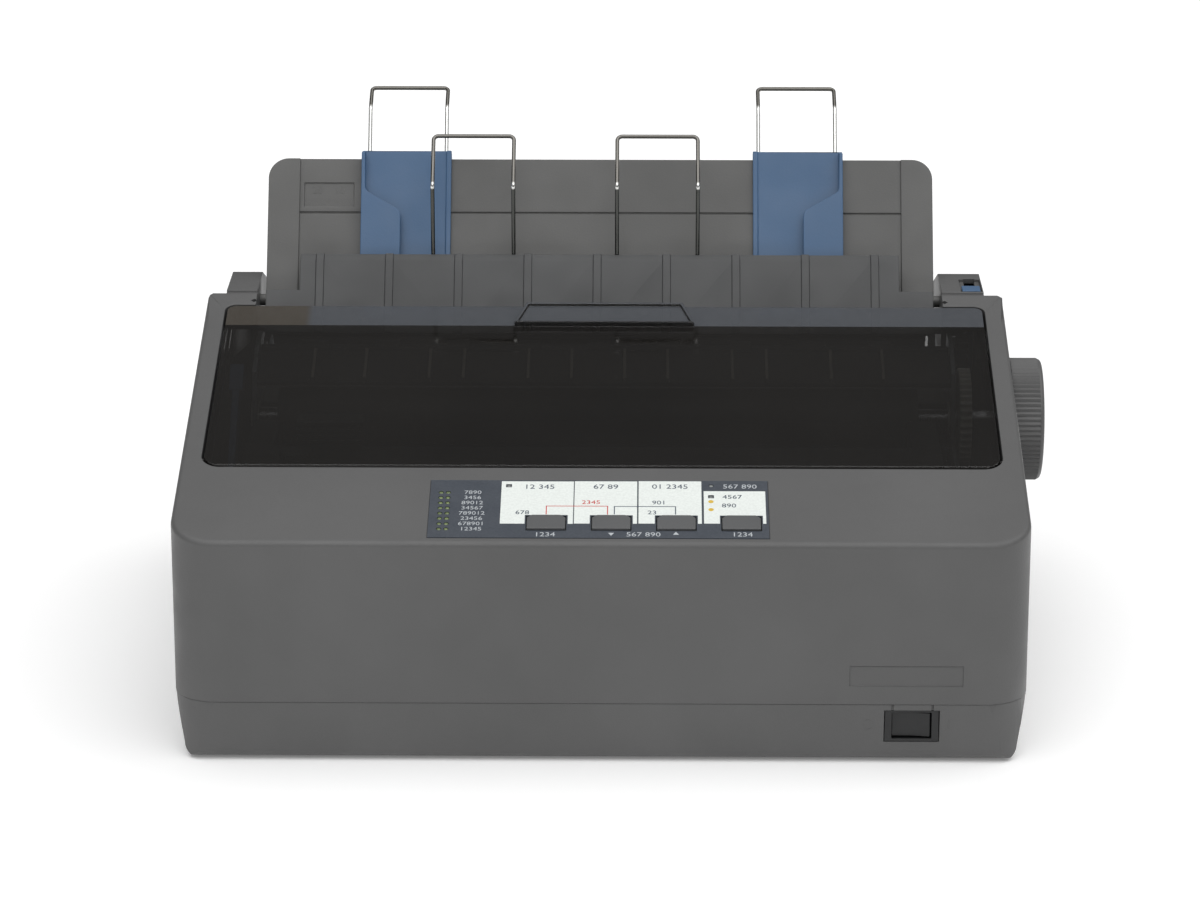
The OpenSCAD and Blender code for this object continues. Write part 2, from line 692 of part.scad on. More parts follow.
// ---- wires ----
function unit(v) = v / norm(v);
function columns(x, y, z, o) = [[x[0], y[0], z[0], o[0]], [x[1], y[1], z[1], o[1]],
    [x[2], y[2], z[2], o[2]], [0, 0, 0, 1]];
function side_of(d) = abs(d[0]) > 0.9 ? unit(cross(d, [0, 1, 0])) : unit(cross(d, [1, 0, 0]));

// A wire of radius r along the points p, with a knuckle at each bend
module wire(p, r) {
    for (i = [0:len(p) - 2]) {
        d = unit(p[i + 1] - p[i]);
        x = side_of(d);
        multmatrix(columns(x, cross(d, x), d, p[i])) cylinder(r = r, h = norm(p[i + 1] - p[i]));
    }
    for (i = [1:len(p) - 2]) translate(p[i]) sphere(r + 0.06);
}

// Rear wire, drawn in the guide's frame with its legs at x0 and x1
module support_wire(x0, x1) {
    leg = 34;
    bend = 85.3;
    tip = [sleeve_y + 9.3, bend + 12.4];
    wire([[x0, sleeve_y, leg], [x0, sleeve_y, bend], [x0, tip[0], tip[1]], [x1, tip[0], tip[1]],
        [x1, sleeve_y, bend], [x1, sleeve_y, leg]], wire_r);
}
module left_support_wire()
    color(STEEL) placed() on_guide() support_wire(edge_left_x + wire_legs[0], edge_left_x + wire_legs[1]);
module right_support_wire()
    color(STEEL) placed() on_guide()
        support_wire(edge_right_x - wire_legs[1], edge_right_x - wire_legs[0]);

// ---- ribbed panel and its wires ----
wire_pivot = [panel_t + 5, panel_len - 1];
pivot_y = panel_y + wire_pivot[0] * cos(panel_lean) + wire_pivot[1] * sin(panel_lean);
pivot_z = panel_z - wire_pivot[0] * sin(panel_lean) + wire_pivot[1] * cos(panel_lean);
panel_half = guide_w / 2 - 1;

// Front wire, its legs round x and their feet turned in to the lugs
module front_wire(x) {
    w = front_wire_w / 2;
    wire([[x - w, pivot_y, pivot_z], [x - w, pivot_y, pivot_z + 38],
        [x - w, pivot_y + 17, pivot_z + 56], [x + w, pivot_y + 17, pivot_z + 56],
        [x + w, pivot_y, pivot_z + 38], [x + w, pivot_y, pivot_z]], wire_r);
    for (s = [-1, 1]) {
        rod_x(x + s * w - 1.2, x + s * w + 1.2, [pivot_y, pivot_z], wire_r + 0.3);
        rod_x(x + s * (w - 3) - 3, x + s * (w - 3) + 3, [pivot_y, pivot_z], wire_r);
    }
}
module left_stacker_wire() color(STEEL) placed() front_wire(front_wire_left);
module right_stacker_wire() color(STEEL) placed() front_wire(front_wire_right);

module paper_guide_cover() {
    centre_half = panel_half - 14.8;
    band_turn = 25.5;
    band_end = [0, panel_len] + 4.6 * [sin(band_turn), cos(band_turn)];
    color(DARK_GREY) placed() difference() {
        on_panel() {
            along_y(0, panel_t) translate([path_x - panel_half, 0]) square([2 * panel_half, 20]);
            // upper part, its top bent back and cut off upright
            along_x(path_x - centre_half, path_x + centre_half) polygon([[0, 19], [0, panel_len], band_end,
                band_end + 2.3 * [sin(panel_lean), -cos(panel_lean)],
                [panel_t, panel_len - panel_t * tan(band_turn / 2)], [panel_t, 19]]);
            for (i = [-4:4]) translate([path_x - 1 + i * rib_pitch, 0, 0]) along_x(-rib_w / 2, rib_w / 2)
                polygon([[-rib_h, 0.5], [-rib_h, panel_len], band_end + rib_h * [-cos(band_turn), sin(band_turn)],
                    band_end, [EPS, panel_len], [EPS, 0.5]]);
            // lugs that carry the wires
            for (c = [front_wire_left, front_wire_right], s = [-1, 1])
                translate([c + s * (front_wire_w / 2 - 4.4), 0, 0]) {
                    box([-1.6, panel_t - EPS, panel_len - 6], [1.6, wire_pivot[0] + 1, panel_len + 0.8]);
                    rod_x(-1.6, 1.6, wire_pivot, wire_r + 1.2);
                }
            // end lugs that reach the case
            box([block_left + seat_gap, 0, 2], [path_x - panel_half + 1, 5, 12]);
            box([path_x + panel_half - 1, 0, 2], [block_right - seat_gap, 5, 12]);
        }
        on_panel() for (c = [front_wire_left, front_wire_right])
            rod_x(c - front_wire_w / 2, c + front_wire_w / 2, wire_pivot, wire_r + bore_gap);
    }
}

// ---- gears ----
// Outline of a gear with n teeth, one of them at angle p
module gear_outline(n, p) {
    m = gear_module;
    r = n * m / 2;
    h0 = 1.08 * m;
    h1 = 0.63 * m;
    h2 = 0.31 * m;
    polygon([for (i = [0:n - 1], k = [[-h0, -1.15], [-h1, 0], [-h2, 0.85], [h2, 0.85], [h1, 0],
        [h0, -1.15]]) let (q = r + k[1] * m, a = p + i * 360 / n + k[0] / q * 180 / PI) [q * cos(a), q * sin(a)]]);
}
// Angle of a tooth on a gear of nb teeth that meshes, in direction t, with one of na teeth
function mesh_angle(t, pa, na, nb) = t + 180 + 180 / nb + (t - pa) * na / nb;
function mesh_point(c, t, na, nb) = c + dir(t) * gear_module * (na + nb) / 2;

idler_teeth = 28;
pinion_teeth = 12;
tractor_idler_teeth = 26;
eject_teeth = 14;
feed_dir = -25.64;
pinion_dir = -59.8;
tractor_idler_dir = 11.4;
tractor_dir = 11.31;
eject_idler_dir = 23.58;
eject_dir = 113.85;

platen_c = knob_axis;
idler_c = mesh_point(platen_c, feed_dir, platen_teeth, idler_teeth);
pinion_c = mesh_point(idler_c, pinion_dir, idler_teeth, pinion_teeth);
tractor_idler_c = mesh_point(idler_c, tractor_idler_dir, idler_teeth, tractor_idler_teeth);
tractor_c = mesh_point(tractor_idler_c, tractor_dir, tractor_idler_teeth, tractor_teeth);
eject_idler_c = mesh_point(platen_c, eject_idler_dir, platen_teeth, eject_teeth);
eject_c = mesh_point(eject_idler_c, eject_dir, eject_teeth, eject_teeth);

idler_p = mesh_angle(feed_dir, 0, platen_teeth, idler_teeth);
pinion_p = mesh_angle(pinion_dir, idler_p, idler_teeth, pinion_teeth);
tractor_idler_p = mesh_angle(tractor_idler_dir, idler_p, idler_teeth, tractor_idler_teeth);
tractor_p = mesh_angle(tractor_dir, tractor_idler_p, tractor_idler_teeth, tractor_teeth);
eject_idler_p = mesh_angle(eject_idler_dir, 0, platen_teeth, eject_teeth);
eject_p = mesh_angle(eject_dir, eject_idler_p, eject_teeth, eject_teeth);

gear_x = plate_x + plate_t / 2 + 1.5;
stud_r = 3;
pinion_shaft_r = 1.5;
eject_shaft_r = 2.5;
support_c = [tractor_c[0] - 17.5, tractor_c[1] - 6];
support_r = 3;
pinch_c = [platen_c[0], platen_c[1] - platen_dia / 2 - pinch_r - 0.3];
pinch_shaft_r = 2;

// A gear on the right of the chassis, with a round bore of radius b
module gear_at(c, n, p, b)
    along_x(gear_x, gear_x + gear_w) translate(c) difference() {
        gear_outline(n, p);
        circle(b);
    }

module platen_gear()
    color(WHITE_PLASTIC) placed() gear_at(platen_c, platen_teeth, 0, platen_shaft_dia / 2 + EPS);
module feed_pinion()
    color(STEEL) placed() gear_at(pinion_c, pinion_teeth, pinion_p, pinion_shaft_r + bore_gap);
module feed_idler_gear()
    color(WHITE_PLASTIC) placed() gear_at(idler_c, idler_teeth, idler_p, stud_r + bore_gap);
module tractor_idler_gear()
    color(WHITE_PLASTIC) placed() gear_at(tractor_idler_c, tractor_idler_teeth, tractor_idler_p,
        stud_r + bore_gap);
module eject_idler_gear()
    color(WHITE_PLASTIC) placed() gear_at(eject_idler_c, eject_teeth, eject_idler_p, stud_r + bore_gap);

module feed_motor()
    color(ZINC) placed() {
        x1 = plate_x - plate_t / 2;
        rod_x(x1 - 28, x1, pinion_c, motor_dia / 2);
        rod_x(x1 - EPS, gear_x + gear_w + 1, pinion_c, pinion_shaft_r);
    }

module tractor_shaft()
    color(STEEL) placed() {
        x0 = -plate_x - plate_t / 2 - 2;
        a = tractor_p;
        journal = square_w / 2 * sqrt(2) + 0.3;
        along_x(-plate_x + 4, plate_x - 4) translate(tractor_c) rotate(a) square(square_w, center = true);
        rod_x(x0, -plate_x + 4, tractor_c, journal);
        rod_x(plate_x - 4, gear_x + EPS, tractor_c, journal);
        along_x(gear_x, gear_x + gear_w) translate(tractor_c) gear_outline(tractor_teeth, tractor_p);
    }

module tractor_support_shaft()
    color(STEEL) placed() rod_x(-plate_x - plate_t / 2, plate_x + plate_t / 2, support_c, support_r);

// ---- tractors ----
// A tractor with its outer side at x = 0 and its inner side at x = tractor_w
side_t = 5;
paper_z = tractor_c[1] + sprocket_r + 1.2;
barrel = [1.6, paper_z + 2.4];
tractor_y0 = support_c[0] - 7;
tractor_y1 = tractor_c[0] + sprocket_r + 7;
barrel_y0 = tractor_c[0] - 11;
barrel_y1 = tractor_c[0] + 11;

module tractor() {
    low = tractor_c[1] - sprocket_r - 5;
    difference() {
        union() {
            for (x = [0, tractor_w - side_t])
                along_x(x, x + side_t)
                    rounded(tractor_y0, low, tractor_y1, paper_z, 4, 3);
            box([0, tractor_y0 + 5, low], [tractor_w, tractor_y1 - 5, low + 2.4]);
            // cheeks that hold the flap's pin
            for (y = [barrel_y0 - 4, barrel_y1 + clearance])
                box([0, y, paper_z - 2], [3.2, y + 4 - clearance, barrel[1] + 1.6]);
            rod_y(barrel_y0 - 2, barrel_y0 + 4, barrel, 1);
            rod_y(barrel_y1 - 4, barrel_y1 + 2, barrel, 1);
        }
        rod_x(-1, tractor_w + 1, support_c, support_r + bore_gap);
        rod_x(-1, tractor_w + 1, tractor_c, hub_r + bore_gap);
    }
}
hub_r = square_w / 2 * sqrt(2) + 1.6;

// The flap over the pins, hinged along Y at the outer side
module tractor_flap()
    difference() {
        union() {
            box([side_t + 0.8, tractor_c[0] - 19, paper_z + 2.2],
                [tractor_w, tractor_c[0] + 19, paper_z + 4.2]);
            box([barrel[0], barrel_y0, paper_z + 2.2], [side_t + 1, barrel_y1, paper_z + 4]);
            rod_y(barrel_y0, barrel_y1, barrel, 1.6);
        }
        rod_y(barrel_y0 - 1, barrel_y1 + 1, barrel, 1 + bore_gap);
        box([side_t + 1.8, tractor_c[0] - 15, paper_z], [side_t + 5.2, tractor_c[0] + 15, paper_z + 6]);
    }

// Sprocket with a square bore, its pins at the middle of its rim
module sprocket() {
    rim0 = side_t + clearance;
    rim1 = tractor_w - side_t - clearance;
    a = tractor_p;
    difference() {
        union() {
            rod_x(rim0, rim1, tractor_c, sprocket_r - 0.6);
            rod_x(0.5, tractor_w - 0.5, tractor_c, hub_r);
            translate([side_t + 3.5, tractor_c[0], tractor_c[1]]) rotate([a, 0, 0])
                for (i = [0:sprocket_pins - 1]) rotate([i * 360 / sprocket_pins, 0, 0])
                    cylinder(r = 1.5, h = sprocket_r + 1.9);
        }
        along_x(-1, tractor_w + 1) translate(tractor_c) rotate(a)
            square(square_w + 0.2, center = true);
    }
}

module left_tractor() color(BLACK) placed() translate([tractor_left_x, 0, 0]) tractor();
module right_tractor()
    color(BLACK) placed() translate([tractor_right_x, 0, 0]) mirror([1, 0, 0]) tractor();
module left_tractor_cover()
    color(DARK_GREY) placed() translate([tractor_left_x, 0, 0]) tractor_flap();
module right_tractor_cover()
    color(DARK_GREY) placed() translate([tractor_right_x, 0, 0]) mirror([1, 0, 0]) tractor_flap();
module left_sprocket() color(WHITE_PLASTIC) placed() translate([tractor_left_x, 0, 0]) sprocket();
module right_sprocket()
    color(WHITE_PLASTIC) placed() translate([tractor_right_x, 0, 0]) mirror([1, 0, 0]) sprocket();

// ---- platen and rollers ----
platen_x0 = path_x - platen_w / 2;
platen_x1 = path_x + platen_w / 2;

module platen_roller()
    color("#1b1c1d") placed() along_x(platen_x0, platen_x1) translate(platen_c) difference() {
        circle(platen_dia / 2);
        circle(platen_shaft_dia / 2);
    }

module platen_shaft()
    color(STEEL) placed() rod_x(-plate_x - plate_t / 2 - 1.5, half_w + knob_reach - 3, platen_c,
        platen_shaft_dia / 2);

module shaft_bushes()
    color(WHITE_PLASTIC) placed() for (x = [-plate_x, plate_x])
        along_x(x - plate_t / 2 - 0.8, x + plate_t / 2 + 0.3) translate(platen_c) difference() {
            circle(platen_shaft_dia / 2 + 3);
            circle(platen_shaft_dia / 2 + bore_gap);
        }

knob_edge = 1.8;
module platen_knob() {
    r = knob_dia / 2;
    x0 = half_w + 0.5;
    x1 = half_w + knob_reach;
    color("#6b6b6b") placed() difference() {
        union() {
            along_x(x0, x1 - knob_edge) translate(platen_c)
                polygon([for (i = [0:2 * knob_ribs - 1]) (r - (i % 2) * 0.6) * dir(i * 180 / knob_ribs)]);
            translate([x1 - knob_edge - EPS, platen_c[0], platen_c[1]]) rotate([0, 90, 0]) rotate_extrude() {
                square([r - knob_edge - 0.3, knob_edge + EPS]);
                intersection() {
                    translate([r - knob_edge - 0.3 - EPS, 0]) circle(knob_edge);
                    translate([r - knob_edge - 0.3 - EPS, 0]) square(knob_edge);
                }
            }
        }
        rod_x(x0 - 1, x1 - 3, platen_c, platen_shaft_dia / 2 + EPS);
    }
}

module eject_rollers()
    color("#2b2c2d") placed() {
        rod_x(-plate_x - plate_t / 2 - 0.5, gear_x + EPS, eject_c, eject_shaft_r);
        for (i = [-4:4]) rod_x(path_x + i * 30.5 - 5, path_x + i * 30.5 + 5, eject_c, eject_r);
        along_x(gear_x, gear_x + gear_w) translate(eject_c) gear_outline(eject_teeth, eject_p);
    }

module pinch_rollers()
    color("#2b2c2d") placed() {
        rod_x(-plate_x - plate_t / 2 - 0.5, plate_x + plate_t / 2 + 0.5, pinch_c, pinch_shaft_r);
        for (x = pinch_places) rod_x(x - 10, x + 10, pinch_c, pinch_r);
    }
pinch_places = [for (i = [-2:2]) path_x + i * 52];

// Sheet metal chute under the platen, with windows for the rollers
module paper_pan() {
    r0 = platen_dia / 2 + 1.6;
    r1 = r0 + 1.2;
    x0 = -plate_x + plate_t / 2;
    x1 = plate_x - plate_t / 2;
    color(ZINC) placed() difference() {
        along_x(x0, x1) difference() {
            union() {
                translate(platen_c) intersection() {
                    circle(r1);
                    polygon([[0, 0], 40 * dir(6), [40, -40], [-40, -40], 40 * dir(218)]);
                }
                // rear chute towards the tractors
                polygon([platen_c + r0 * dir(8), platen_c + (r1 + 0.2) * dir(3), [tractor_y0 - 1, paper_z - 1],
                    [tractor_y0 - 1, paper_z]]);
            }
            translate(platen_c) circle(r0);
        }
        for (x = pinch_places) box([x - 11, pinch_c[0] - 8, pinch_c[1] - 10],
            [x + 11, pinch_c[0] + 8, platen_c[1] - 3]);
    }
}

// Ribbed ramp that leads the paper from the platen to the eject rollers
module eject_ramp() {
    x0 = -plate_x + plate_t / 2;
    x1 = plate_x - plate_t / 2;
    ramp_a = [platen_c[0] - 9, platen_c[1] + platen_dia / 2 + 5.4];
    ramp_b = [eject_c[0] - eject_r - 1.4, eject_c[1] + 1.6];
    color(BLACK) placed() {
        along_x(x0, x1) polygon([ramp_a, ramp_b, ramp_b - [0, ramp_t], ramp_a - [0, ramp_t]]);
        for (x = ramp_ribs, s = [-1, 1])
            along_x(path_x + s * x - 0.8, path_x + s * x + 0.8)
                polygon([ramp_a, ramp_a + [1, 1.6], ramp_b + [0, 1.2], ramp_b]);
    }
}
ramp_t = 1.8;
ramp_ribs = [11.4, 30, 57.8, 72.5, 100.2, 122.5];

// ---- chassis ----
rail_c = [106, platen_c[1] - 20];
belt_z = rail_c[1] - 6;
belt_h = 6;
pulley_pin_r = 2;
pulley_x = 130;
pulley_y = rail_c[0] - 22;
stay_y = 62;
stay_top = rail_c[1] + 2;
base_y0 = 60;
base_y1 = body_d - 35;

module base_plate()
    color(ZINC) placed() {
        box([-plate_x + plate_t / 2 - 3, base_y0, base_z], [plate_x - plate_t / 2 + 3, base_y1, base_z + plate_t]);
        box([-plate_x + plate_t / 2, stay_y, base_z + plate_t - EPS], [plate_x - plate_t / 2, stay_y + 2, stay_top]);
    }

module plate_outline() {
    top_y = eject_c[0] + 9;
    difference() {
        polygon([[base_y0 + 6, base_z + plate_t], [base_y0 + 6, cart_z], [ribbon_y + 1, cart_z],
            [platen_c[0] - 6, platen_c[1] + 22], [eject_c[0] - 4, eject_c[1] + 6], [top_y, eject_c[1] + 6],
            [frame_d - wall - 6, block_floor - 4], [tractor_c[0] + 14, block_floor - 4],
            [tractor_c[0] + 14, base_z + 20], [base_y1 - 6, base_z + plate_t]]);
        translate(platen_c) circle(platen_shaft_dia / 2 + 3 + seat_gap / 3);
        translate(eject_c) circle(eject_shaft_r + bore_gap);
        translate(pinch_c) circle(pinch_shaft_r + bore_gap);
        translate(rail_c) circle(rail_dia / 2 + bore_gap);
        translate(support_c) circle(support_r + EPS);
        translate(tractor_c) circle(square_w / 2 * sqrt(2) + 0.3 + bore_gap);
    }
}

module side_plates()
    color(ZINC) placed() {
        for (x = [-plate_x, plate_x]) along_x(x - plate_t / 2, x + plate_t / 2) difference() {
            plate_outline();
            if (x > 0) translate(pinion_c) circle(pinion_shaft_r + bore_gap);
        }
        // studs for the gears and the release lever
        for (c = [idler_c, tractor_idler_c, eject_idler_c])
            rod_x(plate_x + plate_t / 2 - EPS, gear_x + gear_w + 0.6, c, stud_r);
        rod_x(plate_x + plate_t / 2 - EPS, release_x + release_t / 2 + 0.8, release_pivot, stud_r);
    }

// ---- carriage ----
cart_z = 94;
head_nose = platen_c[0] - platen_dia / 2 - 1.9;

module guide_shaft()
    color(STEEL) placed() rod_x(-plate_x - plate_t / 2 - 10.5, plate_x + plate_t / 2, rail_c, rail_dia / 2);

module carriage() {
    x0 = carriage_park - carriage_w / 2;
    x1 = carriage_park + carriage_w / 2;
    color(BLACK) placed() difference() {
        union() {
            box([x0, rail_c[0] - 13, rail_c[1] - 9], [x1, rail_c[0] + 14, rail_c[1] + 8]);
            box([x0, rail_c[0] - 8, rail_c[1] + 7], [x1, rail_c[0] + 14, rail_c[1] + 9.5]);
            // arm and shoe over the front stay
            box([carriage_park - 6, stay_y - 3, stay_top + clearance],
                [carriage_park + 6, rail_c[0] - 12, stay_top + clearance + 3]);
            box([carriage_park - 6, stay_y - 3, stay_top - 5],
                [carriage_park + 6, stay_y - clearance, stay_top + 1]);
            box([carriage_park - 6, stay_y + 2 + clearance, stay_top - 5],
                [carriage_park + 6, stay_y + 5, stay_top + 1]);
            // clamp over the belt
            box([carriage_park - 5, pulley_y + pulley_r - 3, belt_z + belt_h / 2 + clearance],
                [carriage_park + 5, rail_c[0] - 12, rail_c[1] + 6]);
        }
        rod_x(x0 - 1, x1 + 1, rail_c, rail_dia / 2 + bore_gap);
    }
}

module print_head() {
    z0 = rail_c[1] + 9.5;
    color("#3a3c3e") placed() {
        box([carriage_park - 14, rail_c[0] - 8, z0], [carriage_park + 14, rail_c[0] + 13, z0 + 10]);
        for (i = [0:4]) box([carriage_park - 14, rail_c[0] - 8, z0 + 11 + i * 2.6 - EPS],
            [carriage_park + 14, rail_c[0] + 6, z0 + 12.4 + i * 2.6]);
        box([carriage_park - 9, rail_c[0] - 4, z0 + 9], [carriage_park + 9, rail_c[0] + 4, z0 + 22]);
        box([carriage_park - 4.5, rail_c[0] + 12, z0 + 3], [carriage_park + 4.5, head_nose, z0 + 9]);
    }
}

module belt_path(r)
    for (s = [-1, 1]) {
        translate([s * pulley_x, pulley_y]) circle(r);
        translate([-pulley_x, pulley_y - r]) square([2 * pulley_x, 2 * r]);
    }

module drive_belt()
    color("#222222") placed() translate([0, 0, belt_z - belt_h / 2]) linear_extrude(belt_h) difference() {
        belt_path(pulley_r + 1.1);
        belt_path(pulley_r + 0.1);
    }

module belt_pulley(x, bore)
    translate([x, pulley_y, 0]) difference() {
        union() {
            translate([0, 0, belt_z - belt_h / 2 - 0.4]) cylinder(r = pulley_r, h = belt_h + 0.8);
            for (z = [belt_z - belt_h / 2 - 1.2, belt_z + belt_h / 2 + 0.4])
                translate([0, 0, z]) cylinder(r = pulley_r + 0.9, h = 0.8);
        }
        translate([0, 0, belt_z - 10]) cylinder(r = bore, h = 20);
    }
module drive_pulley() color(ZINC) placed() belt_pulley(pulley_x, pulley_pin_r + bore_gap);
module idler_pulley() color(ZINC) placed() belt_pulley(-pulley_x, pulley_pin_r + bore_gap);

module carriage_motor()
    color(ZINC) placed() {
        top = belt_z - belt_h / 2 - 2.6;
        translate([pulley_x, pulley_y, base_z + plate_t]) cylinder(d = motor_dia, h = top - base_z - plate_t);
        translate([pulley_x, pulley_y, base_z + plate_t]) cylinder(r = pulley_pin_r, h = belt_z + 6 - base_z - plate_t);
        // post of the idler pulley
        translate([-pulley_x, pulley_y, base_z + plate_t]) cylinder(r = 6, h = top - base_z - plate_t);
        translate([-pulley_x, pulley_y, base_z + plate_t]) cylinder(r = pulley_pin_r, h = belt_z + 6 - base_z - plate_t);
    }

// ---- ribbon ----
cart_x0 = -plate_x;
cart_x1 = plate_x - 8;
cart_h = 11;
cart_back = 95;
cart_arm = 12;
ribbon_y = head_nose + 0.5;
knob_spot = [cart_x0 + 22, 79];

module ribbon_cartridge()
    color("#2e2420") placed() difference() {
        translate([0, 0, cart_z + seat_gap]) linear_extrude(cart_h) {
            rounded(cart_x0, stay_y + 5, cart_x1, cart_back, 6, 4);
            for (x = [cart_x0, cart_x1 - cart_arm])
                translate([x, cart_back - 5]) square([cart_arm, ribbon_y - cart_back + 4.8]);
        }
        translate([knob_spot[0], knob_spot[1], cart_z + 4]) cylinder(r = 3 + bore_gap, h = 30);
    }

module ribbon()
    color("#101010") placed() box([cart_x0 + 2, ribbon_y, cart_z + 0.5],
        [cart_x1 - 2, ribbon_y + 0.3, cart_z + 0.5 + ribbon_w]);

module ribbon_knob()
    color(DARK_GREY) placed() translate([knob_spot[0], knob_spot[1], cart_z + seat_gap + cart_h]) {
        translate([0, 0, clearance]) linear_extrude(2.4)
            polygon([for (i = [0:35]) (7 - (i % 2) * 0.8) * dir(i * 10)]);
        translate([0, 0, -6]) cylinder(r = 3, h = 7);
    }

// ---- levers ----
gap_lever_reach = [44, 40];
module head_gap_lever() {
    x1 = -plate_x - plate_t / 2 - 4.5;
    x0 = x1 - 5;
    tip = rail_c + gap_lever_reach;
    n = unit([rail_c[1] - tip[1], tip[0] - rail_c[0]]);
    color(BLUE) placed() difference() {
        union() {
            rod_x(x0, x1, rail_c, rail_dia / 2 + 4);
            along_x(x0 + 1, x1 - 1) polygon([rail_c + 6 * n, rail_c - 6 * n, tip - 4 * n, tip + 4 * n]);
            along_x(x0 - 0.5, x1 + 0.5) polygon([tip - 13 * unit(tip - rail_c) + 4.5 * n, tip + 4.5 * n,
                tip - 4.5 * n, tip - 13 * unit(tip - rail_c) - 4.5 * n]);
        }
        rod_x(x0 - 2, x1 + 2, rail_c, rail_dia / 2 + bore_gap);
    }
}

pad_z = block_h - pocket_h + 0.6;
module release_lever()
    color(BLUE) placed() difference() {
        x0 = release_x - release_t / 2;
        x1 = release_x + release_t / 2;
        union() {
            rod_x(x0, x1, release_pivot, 7);
            along_x(x0, x1) polygon([release_pivot + [-6.5, 0], release_pivot + [6, 2],
                [pad_y + pad_d - 1, pad_z + EPS], [pad_y + 2, pad_z + EPS], [pad_y + 3, pad_z - 12]]);
            box([release_x - lever_w / 2, pad_y, pad_z], [release_x + lever_w / 2, pad_y + pad_d, pad_z + pad_t]);
        }
        rod_x(x0 - 1, x1 + 1, release_pivot, stud_r + bore_gap);
    }

// ---- electronics ----
board_rear = body_d - 35;
board_posts = [for (x = [-110, -20, 10, 112], y = [x < 0 ? 90 : 100, board_rear]) [x, y]];
inlet_x0 = -128;
inlet_x1 = -98;
board_t = 1.6;
inlet_z0 = board_z + 2;
inlet_z1 = inlet_z0 + 23;
port_z0 = board_z + 2;
// Left side, right side and top of each data socket
ports = [[40, 98, port_z0 + 14], [14, 27, port_z0 + 13]];

module circuit_boards()
    color("#2f5d3a") placed() {
        box([-118, 84, board_z], [-14, body_d - 24, board_z + board_t]);
        box([4, 94, board_z], [118, body_d - lip_in - tongue_t - 0.7, board_z + board_t]);
        for (p = [[-100, 110, 34, 26, 11], [-56, 112, 26, 30, 12], [-100, 160, 22, 30, 9], [-60, 170, 18, 18, 12],
            [20, 120, 28, 28, 3], [62, 126, 16, 34, 3], [90, 130, 12, 12, 8], [24, 180, 44, 14, 3],
            [84, 176, 20, 24, 3]])
            translate([p[0], p[1], board_z + board_t - EPS]) cube([p[2], p[3], p[4]]);
        on_deck() translate([-74, 7, board_n - board_t]) cube([152, 37, board_t]);
        on_deck() button_places() translate([0, 0, board_n - EPS]) cylinder(r = 3, h = 1 - clearance);
    }

module ac_inlet()
    color(BLACK) placed() {
        cx = (inlet_x0 + inlet_x1) / 2;
        difference() {
            box([inlet_x0, body_d - 22, inlet_z0], [inlet_x1, body_d, inlet_z1]);
            along_y(body_d - 18, body_d + 1) polygon([[cx - 11.5, inlet_z0 + 3.5], [cx + 11.5, inlet_z0 + 3.5],
                [cx + 11.5, inlet_z1 - 8], [cx + 7, inlet_z1 - 3.5], [cx - 7, inlet_z1 - 3.5],
                [cx - 11.5, inlet_z1 - 8]]);
        }
        for (p = [[-7, 9], [7, 9], [0, 15]])
            box([cx + p[0] - 1, body_d - 19, inlet_z0 + p[1] - 2], [cx + p[0] + 1, body_d - 4, inlet_z0 + p[1] + 2]);
    }

module interface_ports()
    color(STEEL) placed() for (p = ports) {
        difference() {
            box([p[0], body_d - 16, port_z0], [p[1], body_d, p[2]]);
            box([p[0] + 1.2, body_d - 13, port_z0 + 1.2], [p[1] - 1.2, body_d + 1, p[2] - 1.2]);
        }
        mid = (port_z0 + p[2]) / 2;
        box([p[0] + 4, body_d - 14, mid - 0.8], [p[1] - 4, body_d - 3, mid + 0.8]);
    }

lower_case();
upper_case();
rubber_feet();
case_screws();
printer_cover();
paper_guide_cover();
paper_guide();
left_edge_guide();
right_edge_guide();
left_support_wire();
right_support_wire();
left_stacker_wire();
right_stacker_wire();
control_label();
tear_off_button();
line_feed_button();
load_button();
pause_button();
panel_lamps();
power_switch_housing();
power_switch_rocker();
base_plate();
side_plates();
platen_roller();
platen_shaft();
shaft_bushes();
platen_gear();
platen_knob();
feed_motor();
feed_pinion();
feed_idler_gear();
tractor_idler_gear();
tractor_shaft();
tractor_support_shaft();
left_tractor();
right_tractor();
left_tractor_cover();
right_tractor_cover();
left_sprocket();
right_sprocket();
eject_idler_gear();
eject_rollers();
eject_ramp();
paper_pan();
pinch_rollers();
guide_shaft();
carriage();
print_head();
drive_belt();
drive_pulley();
idler_pulley();
carriage_motor();
ribbon_cartridge();
ribbon();
ribbon_knob();
head_gap_lever();
release_lever();
circuit_boards();
ac_inlet();
interface_ports();
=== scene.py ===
import math
import bpy, bmesh
from mathutils import Matrix, Vector
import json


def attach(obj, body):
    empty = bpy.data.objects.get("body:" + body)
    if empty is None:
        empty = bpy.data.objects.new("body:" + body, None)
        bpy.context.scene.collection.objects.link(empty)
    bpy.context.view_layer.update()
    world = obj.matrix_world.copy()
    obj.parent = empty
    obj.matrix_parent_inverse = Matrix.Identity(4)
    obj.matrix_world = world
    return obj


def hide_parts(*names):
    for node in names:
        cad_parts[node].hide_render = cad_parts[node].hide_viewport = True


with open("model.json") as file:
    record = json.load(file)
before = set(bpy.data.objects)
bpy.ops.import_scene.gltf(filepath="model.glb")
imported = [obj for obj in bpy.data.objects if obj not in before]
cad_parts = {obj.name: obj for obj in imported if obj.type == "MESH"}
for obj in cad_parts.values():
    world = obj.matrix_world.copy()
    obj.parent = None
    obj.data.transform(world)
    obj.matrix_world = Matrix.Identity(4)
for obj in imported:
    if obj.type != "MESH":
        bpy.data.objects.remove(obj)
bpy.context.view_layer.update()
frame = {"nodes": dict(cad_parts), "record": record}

MM = 0.001
scene = bpy.context.scene
nodes = frame["nodes"]
body_of_node = {n: b for b, ns in frame["record"]["behaviour"]["bodies"].items() for n in ns}


